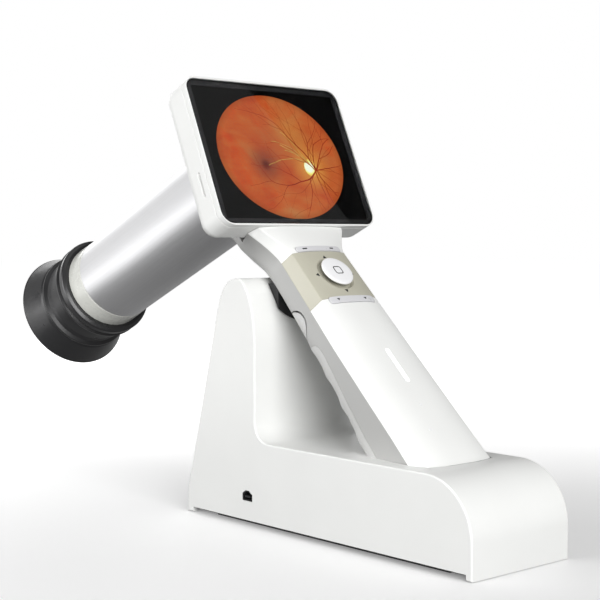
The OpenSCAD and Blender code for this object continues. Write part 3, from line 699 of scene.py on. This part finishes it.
def make_dish():
    """The round hollow that the disc sits in; its rim follows the crowned face."""
    bowl = [(0.001, -DISH_DEPTH), (DISH_R - 1.8, -DISH_DEPTH), (DISH_R - 1.1, -DISH_DEPTH + 0.25),
            (DISH_R - 0.45, -0.55), (DISH_R - 0.05, -0.1), (DISH_R + 0.05, -0.1),
            (DISH_R + 0.05, -2.4), (0.001, -2.4)]
    dish = lathe("nav_dish", fillet(bowl, [0, 0.3, 0.5, 0.4, 0.1, 0, 0, 0], 4),
                 HANDLE @ shift(NAV_X, 0, 0), "handset", BEIGE, closed=False)
    for vert in dish.data.vertices:
        x, y, z = (c / MM for c in vert.co)
        if math.hypot(x, y) > DISH_R - 1 and z > -1.5:
            vert.co.z -= drop(NAV_X + x, y) * MM


def printed(name, outline, height, body):
    """A thin printed mark that lies on the crowned face, 'height' above it."""
    verts = [(x, y, height + z - drop(x, y)) for z in (-0.06, 0.03) for x, y in outline]
    piece(name, verts, closed_faces(len(outline)), HANDLE, body, INK)


def make_arrows():
    reach = DISH_R + 1.2
    tip = [(0.95, 0), (-0.85, 1.15), (-0.85, -1.15)]
    for name, a in (("down", 0), ("right", 90), ("up", 180), ("left", 270)):
        c, s = math.cos(math.radians(a)), math.sin(math.radians(a))
        at = [(NAV_X + c * (reach + x) - s * y, s * (reach + x) + c * y) for x, y in tip]
        printed("arrow_" + name, at, 0, "handset")


def make_icon():
    """A plain rounded square ring on the disc."""
    outer, inner = rounded_rect(4.8, 4.8, 1.2, 6), rounded_rect(3.8, 3.8, 0.8, 6)
    verts, faces = flat_ring(outer, inner, NAV_TOP - 0.08, NAV_TOP + 0.03)
    piece("nav_icon", verts, faces, HANDLE @ shift(NAV_X, 0, 0), "nav_disc", INK)


def make_marks():
    make_arrows()
    make_icon()
    upper, lower = STRIP_X["upper"], STRIP_X["lower"]
    for side, y, w in (("a", -9, 2.8), ("b", 8, 2.4)):
        bar = [(upper + dx, y + dy) for dx, dy in rounded_rect(0.8, w, 0.35, 4)]
        printed("upper_mark_" + side, bar, KEY_PROUD, "upper_key")
        tip = [(lower + 0.8, y), (lower - 0.6, y - 0.9), (lower - 0.6, y + 0.9)]
        printed("lower_mark_" + side, tip, KEY_PROUD, "lower_key")


def make_keys():
    make_key_strip("upper")
    make_key_strip("lower")
    make_nav_disc()
    make_dish()
    make_marks()
    light_top = [(0, -2)] + rounding(0.1, 0.1, 2)
    domed_plate("light_bar", lambda inset: light_outline(-inset), light_top,
                HANDLE, "handset", LIGHT, ["light_guide"])


# Head ----------------------------------------------------------------
GLASS_H, GLASS_W, GLASS_R = 76.3, 97.6, 6
CASING_R, BACK_R, BEZEL_D = 7.5, 7, 3
DISPLAY_H, DISPLAY_W, SCREEN_BACK = 72.5, 91.4, -1.55
CARD_AT = (15.3, -7.75)


def casing_loop(inset):
    return rounded_rect(HEAD_H - 2 * inset, HEAD_W - 2 * inset, max(CASING_R - inset, 1.5), 12)


def glass_loop(inset):
    return rounded_rect(GLASS_H - 2 * inset, GLASS_W - 2 * inset, GLASS_R - inset, 12)


def display_loop(inset):
    return rounded_rect(DISPLAY_H - 2 * inset, DISPLAY_W - 2 * inset, 2 - inset, 6)


def make_casing():
    turns = [math.radians(a) for a in range(0, 91, 9)]
    steps = [(0.35, -BEZEL_D - 0.1), (0, -BEZEL_D - 0.35)]
    steps += [(BACK_R * (1 - math.cos(a)), -HEAD_D + BACK_R - BACK_R * math.sin(a)) for a in turns]
    body = domed_plate("head_casing", casing_loop, steps, HEAD,
                       "handset", WHITE, ["head_shell"])
    slot = [(CARD_AT[0] + x, CARD_AT[1] + y) for x, y in rounded_rect(13, 1.6, 0.75, 6)]
    combine(body, prism("slot_cut", slot, -HEAD_W / 2 - 1, -HEAD_W / 2 + 0.8, HEAD, "xz"))
    soften(body, 0.25)


def make_bezel():
    inner = rounded_rect(GLASS_H + 0.3, GLASS_W + 0.3, GLASS_R + 0.2, 12)
    verts, faces = flat_ring(casing_loop(0), inner, -BEZEL_D, 0.25)
    rim = piece("bezel_rim", verts, faces, HEAD, "handset", WHITE, ["screen_bezel"])
    soften(rim, 0.35, 4)


def picture_frame(name, outer, inner, mat):
    """A border between two outlines, under the cover glass."""
    verts, faces = flat_ring(outer, inner, -1.5, -1.3)
    piece(name, verts, faces, HEAD, "handset", mat)


def make_screen():
    domed_plate("glass_sheet", glass_loop, [(0.3, -1.1), (0, -0.9)] + rounding(0, 0.3, 3), HEAD,
                "handset", COVER, ["cover_glass"])
    picture_frame("screen_seal", glass_loop(0), glass_loop(0.8), matt_black("screen_seal", 0.004))
    window = [(x + 0.2, y) for x, y in rounded_rect(70.2, 91, 0.6, 12)]
    border = rounded_rect(GLASS_H - 1.7, GLASS_W - 1.7, 5.1, 12)
    picture_frame("screen_border", border, window, matt_black("screen_mask", 0.036))
    edge = [(0, -5), (0, SCREEN_BACK - 0.2), (0.2, SCREEN_BACK)]
    domed_plate("display_module", display_loop, edge, HEAD, "handset",
                matt_black("display_dark", 0.002), ["display_panel"])
    make_picture()
    make_vessels()


# The picture on the display: a plain generic eye background ---------
EYE_X, EYE_Y, EYE_H, EYE_W = 1.5, -0.3, 33.9, 39.4
DISC_AT, MACULA_AT = (7.1, 16.9), (6.3, -12.1)
NERVE_H, NERVE_W = 4.9, 4.3
# Heading, bend, length, width and number of splits of each main vessel
VESSELS = ((3.72, 0.026, 56, 0.95, 2), (3.2, -0.012, 34, 0.6, 1), (2.4, -0.02, 24, 0.6, 1),
           (1.5, 0.012, 22, 0.5, 1), (5.7, -0.022, 52, 0.95, 2), (6.1, 0.01, 26, 0.4, 1),
           (0.55, 0.012, 30, 0.6, 1))


def fade(paint, at, radius, squash=1.0):
    """1 at the point 'at' on the display, falling to 0 at 'radius' mm."""
    place = (at[0] * MM, at[1] * MM, SCREEN_BACK * MM)
    far = paint.distance(place, (1, 1 / squash, 0))
    return paint.remap(far, 0, radius * MM, 1, 0, "SMOOTHERSTEP")


def tint(paint, base, fac, color, amount):
    """Mixes a colour into 'base' by fac times amount."""
    mix = paint.node("ShaderNodeMix", data_type="RGBA")
    scaled = paint.node("ShaderNodeMath", operation="MULTIPLY")
    scaled.inputs[1].default_value = amount
    paint.link(fac, scaled.inputs[0])
    paint.link(scaled.outputs[0], mix.inputs["Factor"])
    paint.link(base, mix.inputs["A"])
    mix.inputs["B"].default_value = (*color, 1)
    return mix.outputs["Result"]


def glowing(paint, color_socket, strength):
    paint.shader.inputs["Base Color"].default_value = (0, 0, 0, 1)
    paint.shader.inputs["Emission Strength"].default_value = strength
    paint.link(color_socket, paint.shader.inputs["Emission Color"])
    return paint.mat


def retina_material():
    paint = Paint("eye_background", (0, 0, 0), 0.5, Specular_IOR_Level=0.0)
    tone = paint.ramp(paint.noise(45, 5, distortion=0.8),
                      [(0.3, (0.50, 0.07, 0.022)), (0.5, (0.56, 0.115, 0.03)), (0.72, (0.53, 0.19, 0.06))])
    red = paint.ramp(paint.noise(32, 4, distortion=1.5), [(0.52, (0, 0, 0)), (0.72, (1, 1, 1))])
    fibres = paint.ramp(paint.noise(260, 6, (1, 0.35, 1)), [(0.4, (0, 0, 0)), (0.75, (1, 1, 1))])
    edge = fade(paint, (EYE_X, EYE_Y), EYE_W * 1.12, EYE_W / EYE_H)
    rim = paint.ramp(edge, [(0.0, (1, 1, 1)), (0.17, (0, 0, 0))])
    layers = ((red, (0.66, 0.06, 0.014), 0.6),
              (fibres, (0.62, 0.24, 0.07), 0.22),
              (fade(paint, (-9, 10), 20), (0.66, 0.34, 0.08), 0.4),
              (fade(paint, (-2, -6), 24), (0.4, 0.07, 0.035), 0.35),
              (fade(paint, MACULA_AT, 15), (0.22, 0.05, 0.035), 0.75),
              (fade(paint, MACULA_AT, 4.5), (0.09, 0.015, 0.015), 0.75),
              (fade(paint, DISC_AT, 17), (0.80, 0.40, 0.08), 0.65),
              (rim, (0.22, 0.05, 0.012), 0.8))
    for fac, color, amount in layers:
        tone = tint(paint, tone, fac, color, amount)
    return glowing(paint, tone, 0.95)


def nerve_material():
    paint = Paint("nerve_head", (0, 0, 0), 0.5, Specular_IOR_Level=0.0)
    tone = paint.ramp(fade(paint, (DISC_AT[0] - 0.3, DISC_AT[1] - 1.2), 6),
                      [(0.0, (0.68, 0.30, 0.07)), (0.16, (0.86, 0.60, 0.12)),
                       (0.34, (0.92, 0.88, 0.22)), (0.72, (0.93, 1.0, 0.80))])
    return glowing(paint, tone, 1.05)


def vessel_material(name, color):
    paint = Paint(name, (0, 0, 0), 0.5, Specular_IOR_Level=0.0)
    deep = tuple(c * 0.7 for c in color)
    return glowing(paint, paint.ramp(paint.noise(140, 3), [(0.35, deep), (0.65, color)]), 0.9)


def inside_eye(x, y):
    margin = 0.985
    return ((x - EYE_X) / (EYE_H * margin)) ** 2 + ((y - EYE_Y) / (EYE_W * margin)) ** 2 < 1


def grow_vessel(rng, start, heading, bend, length, width, depth, found):
    """Walks a vessel outwards, splitting as it goes."""
    x, y = start
    path = [(x, y, width)]
    step = 0.6
    split = rng.uniform(5, 9)
    gone = 0
    while gone < length and width > 0.10:
        heading += bend * step + rng.gauss(0, 0.055)
        x += math.cos(heading) * step
        y += math.sin(heading) * step
        if not inside_eye(x, y):
            break
        gone += step
        width *= 0.988
        path.append((x, y, width))
        if gone > split and depth > 0:
            side = rng.choice((-1, 1))
            away, curl = side * rng.uniform(0.45, 0.8), -side * rng.uniform(0.0, 0.02)
            narrowed = width * rng.uniform(0.5, 0.68)
            grow_vessel(rng, (x, y), heading + away, curl, length * 0.6, narrowed, depth - 1, found)
            heading -= side * rng.uniform(0.1, 0.2)
            width *= 0.85
            split = gone + rng.uniform(6, 11)
    if len(path) > 3:
        found.append(path)


def ribbon(paths, name, z, mat):
    """Flat strips along paths of (x, y, width)."""
    verts, faces = [], []
    for path in paths:
        base = len(verts)
        for i, (x, y, w) in enumerate(path):
            ax, ay = path[max(i - 1, 0)][:2]
            bx, by = path[min(i + 1, len(path) - 1)][:2]
            d = math.hypot(bx - ax, by - ay) or 1
            nx, ny = -(by - ay) / d * w / 2, (bx - ax) / d * w / 2
            verts += [(x + nx, y + ny, z), (x - nx, y - ny, z)]
        for i in range(len(path) - 1):
            a = base + 2 * i
            faces.append((a, a + 1, a + 3, a + 2))
    piece(name, verts, faces, HEAD, "handset", mat)


def make_picture():
    """The oval eye background, as rings of faces about its middle, and the nerve head."""
    n, rings = 96, 12
    turns = [2 * math.pi * i / n for i in range(n)]
    z = SCREEN_BACK + 0.03
    verts, faces = [(EYE_X, EYE_Y, z)], []
    for k in range(1, rings + 1):
        f = k / rings
        verts += [(EYE_X + EYE_H * f * math.cos(a), EYE_Y + EYE_W * f * math.sin(a), z) for a in turns]
    faces += [(0, 1 + i, 1 + (i + 1) % n) for i in range(n)]
    for k in range(1, rings):
        a, b = 1 + (k - 1) * n, 1 + k * n
        faces += [(a + i, b + i, b + (i + 1) % n, a + (i + 1) % n) for i in range(n)]
    piece("eye_picture", verts, faces, HEAD, "handset", retina_material())
    head = [(x, y, SCREEN_BACK + 0.05) for x, y in ellipse(*DISC_AT, NERVE_H, NERVE_W, 48)]
    piece("eye_nerve_head", head, [tuple(range(len(head)))], HEAD, "handset", nerve_material())


def make_vessels():
    """Vessels from the nerve head; headings are measured from straight down the screen."""
    rng = random.Random(11)
    veins, arteries, streaks = [], [], []
    root = (DISC_AT[0] + 0.9, DISC_AT[1] + 3.0)
    for heading, bend, length, width, splits in VESSELS:
        side = -1 if heading > math.pi else 1
        grow_vessel(rng, root, heading, bend, length, width, splits, veins)
        start = (root[0] + 0.3, root[1] + 0.6 * side)
        grow_vessel(rng, start, heading + 0.12, bend, length * 0.8, width * 0.6, splits - 1, arteries)
    start = (root[0] - 2, root[1] - 2.5)
    for k in range(5):
        grow_vessel(rng, start, 3.76 + 0.05 * k, 0.022, 17 + 3 * k, 0.55, 0, streaks)
    ribbon(streaks, "eye_fibres", SCREEN_BACK + 0.06, vessel_material("eye_fibre", (0.72, 0.40, 0.10)))
    ribbon(veins, "eye_veins", SCREEN_BACK + 0.07, vessel_material("eye_vein", (0.36, 0.035, 0.014)))
    ribbon(arteries, "eye_arteries", SCREEN_BACK + 0.09, vessel_material("eye_artery", (0.50, 0.09, 0.025)))


# Barrel and eyecup ---------------------------------------------------
BARREL_R, BARREL_IN = 24.4, 22.4
BARREL_END, NOSE_END, RING_END = 160.9, 172.8, 178.6
RING_R, RIM_R, RIM_AT = 28.9, 33.7, 213.3


def turned(name, points, radius, body, mat, replaces):
    """Lathes (radius, distance behind the screen) points with softened corners."""
    pts = fillet([(r, -s) for r, s in points], radius, 5, closed=True)
    return lathe(name, pts, BARREL, body, mat, replaces)


def make_barrel():
    start = HEAD_D - 2.2
    turned("barrel_sleeve",
           [(BARREL_IN, start), (BARREL_R, start), (BARREL_R, BARREL_END), (BARREL_IN, BARREL_END)],
           0.35, "handset", BARREL_METAL, ["barrel_tube"])
    turned("nose_collar",
           [(20.6, 154.9), (22.38, 154.9), (22.38, BARREL_END + 0.1), (BARREL_R, BARREL_END + 0.1),
            (BARREL_R + 0.15, BARREL_END + 0.6), (BARREL_R + 0.6, NOSE_END), (23.4, NOSE_END),
            (23.4, NOSE_END + 8), (20.6, NOSE_END + 8)],
           0.3, "handset", CREAM, ["nose_ring"])
    turned("cup_adapter",
           [(23.5, NOSE_END + 0.1), (26.8, NOSE_END + 0.1), (RING_R - 0.4, NOSE_END + 1),
            (RING_R, NOSE_END + 1.8), (RING_R - 0.2, RING_END - 1.2), (27.8, RING_END),
            (24.6, RING_END), (24.4, RING_END + 8.5), (23.5, RING_END + 8.5)],
           0.5, "handset", BLACK, ["adapter_ring"])
    turned("eye_cup",
           [(24.9, RING_END + 0.4), (27.4, RING_END + 0.4), (29, RING_END + 1.7),
            (28.7, RING_END + 2.8), (26.3, RING_END + 4), (25.7, RING_END + 6), (25.9, 193),
            (26.5, 195.6), (28.5, 197), (28.6, 197.8), (28, 198.8), (28.8, 200),
            (RIM_R - 0.5, RIM_AT - 0.9), (RIM_R, RIM_AT - 0.3), (RIM_R - 0.5, RIM_AT),
            (RIM_R - 1.4, RIM_AT), (26.9, 200.6), (24.2, 197.5), (22.6, 193.6),
            (22.4, 189.6), (24.9, 189.2)],
           0.5, "eyecup", RUBBER, ["rubber_eyecup"])


# Dock ----------------------------------------------------------------
DOCK_LEN, DOCK_W, TOWER_H, FOOT_H = 190, 62.4, 118.6, 41
WALL_X, TOE_R, DOCK_WALL, DOCK_EDGE = -41.7, 26, 2.4, 0.8
FOOT_GAP, BACK_FOOT, TOE_FOOT = 2.9, 4.65, 3
PORT_AT = (-47.3, 12.3)
PORT = ((-3.8, -0.2), (3.8, -0.2), (3.8, 3.3), (2.5, 4.0),
        (1.3, 4.9), (-1.3, 4.9), (-2.5, 4.0), (-3.8, 3.3))
POCKET, POCKET_HALF = (5, 30, 72, 38.8), 28.9
LIFT_SLOPE = 57
TROUGH_LOW, TROUGH_R = (-42.3, 0, 97.3), 38
SOCKET_GAP, SOCKET_FLOOR, SOCKET_TOP = 0.45, 37.9, 48
# (depth, half width) of the handle's end, at its front face, ridge, shoulder and rear
END_FRONT, END_RIDGE, END_SHOULDER, END_REAR = (0, 9), (CROWN, 19.9), (8.4, 22.5), (32.8, 20.3)


def dock_outline():
    half = DOCK_LEN / 2
    return ([(-half, 0.3)]
            + cubic((-half, 9), (-half, 14), (-93.6, 16.8), (-92.2, 21.5), 8)
            + cubic((-71.6, 99), (-68.9, 109), (-66.4, TOWER_H), (-55, TOWER_H), 22)
            + cubic((-53.4, TOWER_H), (-48, 116.5), (WALL_X - 0.2, 105), (WALL_X, 86), 22)
            + cubic((WALL_X, 51), (WALL_X, 45), (-37.8, FOOT_H), (-31.5, FOOT_H), 14)
            + arc(half - TOE_R, FOOT_H - TOE_R, TOE_R, 90, 0, 28)
            + [(half, 0.3)])


def inset_outline(pts, t):
    """Moves a closed outline inwards by t, along the normals at its corners."""
    area = sum(a[0] * b[1] - b[0] * a[1] for a, b in zip(pts, pts[1:] + pts[:1]))
    turn = 1 if area > 0 else -1
    out = []
    n = len(pts)
    for i, p in enumerate(pts):
        a, b = Vector(pts[i - 1]), Vector(pts[(i + 1) % n])
        e1, e2 = (Vector(p) - a).normalized(), (b - Vector(p)).normalized()
        n1, n2 = Vector((-e1.y, e1.x)) * turn, Vector((-e2.y, e2.x)) * turn
        mid = (n1 + n2) / (1 + n1.dot(n2))
        out.append(tuple(Vector(p) + mid * t))
    return out


def dock_block():
    """A solid of the dock's side outline, rounded towards both side faces."""
    half = DOCK_W / 2
    turns = [math.radians(a) for a in range(0, 91, 15)]
    steps = [(DOCK_EDGE * (1 - math.sin(a)), half - DOCK_EDGE * (1 - math.cos(a))) for a in turns]
    loops = []
    for inset, y in [(i, -h) for i, h in steps] + [(i, h) for i, h in reversed(steps)]:
        outline = inset_outline(dock_outline(), inset) if inset else dock_outline()
        loops.append([(x, y, z) for x, z in outline])
    return stack("dock_casing", loops, ROW)


def across(name, outline, reach):
    """A prism across the dock, 'reach' to each side."""
    return prism(name, outline, -reach, reach, ROW, "xz")


def rectangle(x0, z0, x1, z1):
    return [(x0, z0), (x1, z0), (x1, z1), (x0, z1)]


def make_dock():
    half = DOCK_W / 2
    shell = dock_block()
    inner = [(x, z if z > DOCK_WALL + 1 else -5) for x, z in inset_outline(dock_outline(), DOCK_WALL)]
    combine(shell, across("hollow", inner, half - DOCK_WALL))
    combine(shell, across("pocket_floor", rectangle(*POCKET), POCKET_HALF), "UNION")
    combine(shell, trough_wall(), "UNION")
    combine(shell, trough(TROUGH_R))
    combine(shell, socket_cutter())
    gap = rectangle(-DOCK_LEN / 2 + BACK_FOOT, -5, DOCK_LEN / 2 - TOE_FOOT, FOOT_GAP)
    combine(shell, across("foot_gap", gap, 60))
    port = [(x + PORT_AT[0], z + PORT_AT[1]) for x, z in PORT]
    combine(shell, prism("port_cut", port, -40, -20, ROW, "xz"))
    put(shell, "dock", WHITE, ["dock_shell"])
    soften(shell, 0.5, 3, 40)


def trough(radius):
    """The round trough across the tower's top, along the lift direction."""
    where = placed(TROUGH_LOW, LIFT_SLOPE - 90) @ shift(TROUGH_R, 0, 0)
    return prism("trough", ellipse(0, 0, radius, radius, 180), -60, 80, where)


def trough_wall():
    wall = trough(TROUGH_R + DOCK_WALL)
    combine(wall, across("clip", inset_outline(dock_outline(), 1.2), DOCK_W / 2 - 1), "INTERSECT")
    return wall


def end_point(depth, half_w):
    """Where a point of the handle's section meets the slanted end, as (x, y) in the row frame."""
    a = math.radians(HANDLE_SLOPE)
    return HANDLE_AT[0] + (HANDLE_AT[2] - END_Z) / math.tan(a) - depth / math.sin(a), half_w


def socket_cutter():
    """The recess that the handle's end stands in, leaning along the lift direction."""
    depth, half_w = END_REAR
    corner = arc(half_w - REAR_CORNER, depth - REAR_CORNER, REAR_CORNER, 0, 90, 8)
    half = [end_point(*p) for p in (END_FRONT, END_RIDGE, END_SHOULDER)]
    half += [end_point(d, y) for y, d in corner]
    loop = inset_outline(half + [(x, -y) for x, y in reversed(half)], -SOCKET_GAP)
    lean = -1 / math.tan(math.radians(LIFT_SLOPE))
    loops = [[(x + lean * (z - SOCKET_FLOOR), y, z) for x, y in loop] for z in (SOCKET_FLOOR, SOCKET_TOP)]
    return stack("socket", loops, ROW)


# Nodes that keep their CAD shape and take a better finish ------------
# Material, width of the rounded edges and names of the nodes that take both
KEPT = (
    (BOARD, 0, "charging_board handle_board keypad_board head_board illumination_board image_sensor_board"),
    (STEEL, 0, "dock_screws handle_screws nav_stem trigger_spring barrel_screws guide_rods lead_screw"),
    (BLACK, 0, "charge_port nav_switch nav_gimbal trigger_switch relay_mount focus_carriage rear_plate"),
    (GOLD, 0, "charge_pin_left charge_pin_right contact_pads"),
    (LENS, 0, "objective_lens relay_lens focus_lens"), (CLEAR_LAMP, 0, "indicator_lenses"),
    (BLACK, 0.2, "contact_carrier end_cap lens_retainer"), (BLACK, 0.3, "dock_base_plate"),
    (PAD_RUBBER, 0.3, "anti_slip_mat"), (PAD_RUBBER, 0.4, "cradle_pad"),
    (STEEL, 0.1, "card_socket"), (STEEL, 0.2, "neck_bracket focus_motor"),
    (STEEL, 0.4, "ballast_plate"), (CARD, 0.1, "memory_card"), (BATTERY, 0.6, "battery_pack"),
)


def round_edges(node, width):
    weld = node.modifiers.new("weld", "WELD")
    weld.merge_threshold = 1e-6
    bevel = node.modifiers.new("edges", "BEVEL")
    bevel.width = width * MM
    bevel.segments = 3
    bevel.limit_method = "ANGLE"
    bevel.angle_limit = math.radians(40)


def finish_kept_nodes():
    for mat, edge, names in KEPT:
        for node in (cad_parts[name] for name in names.split()):
            for slot in node.material_slots:
                slot.material = mat
            if edge:
                round_edges(node, edge)


# Set, light and camera ----------------------------------------------
# Centre, reach and strengths of the floor's painted glow; its weak inner end is painted shade round the
# object
GLOW_AT, GLOW_REACH, GLOW_LEVELS = (0.2, -0.15, 0), (0.2, 0.8), (0.16, 0.9)
FLOOR_REACH = 6000
AMBIENT = 0.12
AIM = (-0.05, 0, 0.1)
# Place, size and watts of each soft box, all turned to AIM
SOFT_BOXES = {"key": ((1.15, -0.45, 0.5), (0.9, 0.9), 19.5),
              "top": ((0.0, 0.0, 1.3), (0.9, 0.9), 1.6),
              "front": ((-0.35, -1.2, 0.42), (0.8, 0.8), 10.2),
              "back": ((-1.15, 0.5, 0.42), (0.9, 0.6), 2.5)}
# Place, aim, size and watts of the cards that only reflections show
SHEEN_CARDS = {"side": ((-0.95, -0.2, 0.27), (-0.15, 0, 0.13), (1.0, 0.6), 1.45),
               "low": ((-0.5, -0.4, 0.02), (-0.5, -0.4, 1), (0.5, 0.5), 1.1)}
CAMERA_AT, CAMERA_TURN = (0.44806, -0.4325, 0.1382), (90 - 2.672, 0, 48.715)


def make_set():
    """A pale floor that brightens into the white surroundings away from the object by a painted glow; the
    weaker glow round the object is painted shade, and reflections and bounced light see the floor darker,
    as painted shade under the object.
    """
    floor = Paint("studio_floor", (0.84, 0.84, 0.84), 0.6)
    glow = floor.remap(floor.distance(GLOW_AT), *GLOW_REACH, *GLOW_LEVELS, "SMOOTHSTEP")
    floor.link(glow, floor.shader.inputs["Emission Strength"])
    # Painted shade: reflections and bounced light see a dark, dimly glowing floor, so the undersides above
    # it fall darker
    seen = floor.node("ShaderNodeLightPath").outputs["Is Camera Ray"]
    tone = floor.ramp(seen, [(0.0, (0.1, 0.1, 0.1)), (1.0, (0.8, 0.8, 0.8))])
    floor.link(tone, floor.shader.inputs["Base Color"])
    shine = floor.ramp(seen, [(0.0, (0.3, 0.3, 0.3)), (1.0, (1, 1, 1))])
    floor.link(shine, floor.shader.inputs["Emission Color"])
    r = FLOOR_REACH
    sheet = piece("floor", [(-r, -r, 0), (r, -r, 0), (r, r, 0), (-r, r, 0)], [(0, 1, 2, 3)], ROW)
    sheet.data.materials.append(floor.mat)


def make_dark_card():
    """A black panel that only the screen's glass reflects, over its right half."""
    card = piece("dark_card", [(400, 669, 300), (400, 1300, 300), (400, 1300, 1300), (400, 669, 1300)],
                 [(0, 1, 2, 3)], ROW)
    card.data.materials.append(matt_black("card_black", 0.01))
    card.visible_camera = False
    card.visible_diffuse = False
    card.visible_shadow = False


def area_light(name, at, aim, size, power):
    data = bpy.data.lights.new(name, "AREA")
    data.shape = "RECTANGLE"
    data.size, data.size_y = size
    data.energy = power
    lamp = bpy.data.objects.new(name, data)
    bpy.context.scene.collection.objects.link(lamp)
    lamp.location = at
    lamp.visible_camera = False
    lamp.rotation_euler = (Vector(aim) - Vector(at)).to_track_quat("-Z", "Y").to_euler()
    return lamp


def make_sky():
    """White to look at, but a dim sky for lighting."""
    world = bpy.data.worlds.new("studio")
    bpy.context.scene.world = world
    world.use_nodes = True
    nodes, links = world.node_tree.nodes, world.node_tree.links
    seen = nodes.new("ShaderNodeLightPath").outputs["Is Camera Ray"]
    strength = nodes.new("ShaderNodeMapRange")
    strength.inputs["To Min"].default_value = AMBIENT
    strength.inputs["To Max"].default_value = 1.0
    links.new(seen, strength.inputs["Value"])
    back = nodes["Background"]
    back.inputs["Color"].default_value = (1, 1, 1, 1)
    links.new(strength.outputs["Result"], back.inputs["Strength"])


def make_lights():
    for name, (at, size, power) in SOFT_BOXES.items():
        area_light(name, at, AIM, size, power)
    for name, (at, aim, size, power) in SHEEN_CARDS.items():
        area_light(name, at, aim, size, power).visible_diffuse = False


def make_camera():
    data = bpy.data.cameras.new("camera")
    data.lens = 80.49
    data.sensor_width = 36
    cam = bpy.data.objects.new("camera", data)
    bpy.context.scene.collection.objects.link(cam)
    cam.location = CAMERA_AT
    cam.rotation_euler = tuple(math.radians(a) for a in CAMERA_TURN)
    bpy.context.scene.camera = cam


make_camera()
make_set()
make_dark_card()
make_sky()
make_lights()
make_dock()
make_front()
make_rear()
make_keys()
make_casing()
make_bezel()
make_screen()
make_barrel()
finish_kept_nodes()
bpy.context.scene.view_settings.view_transform = "Standard"
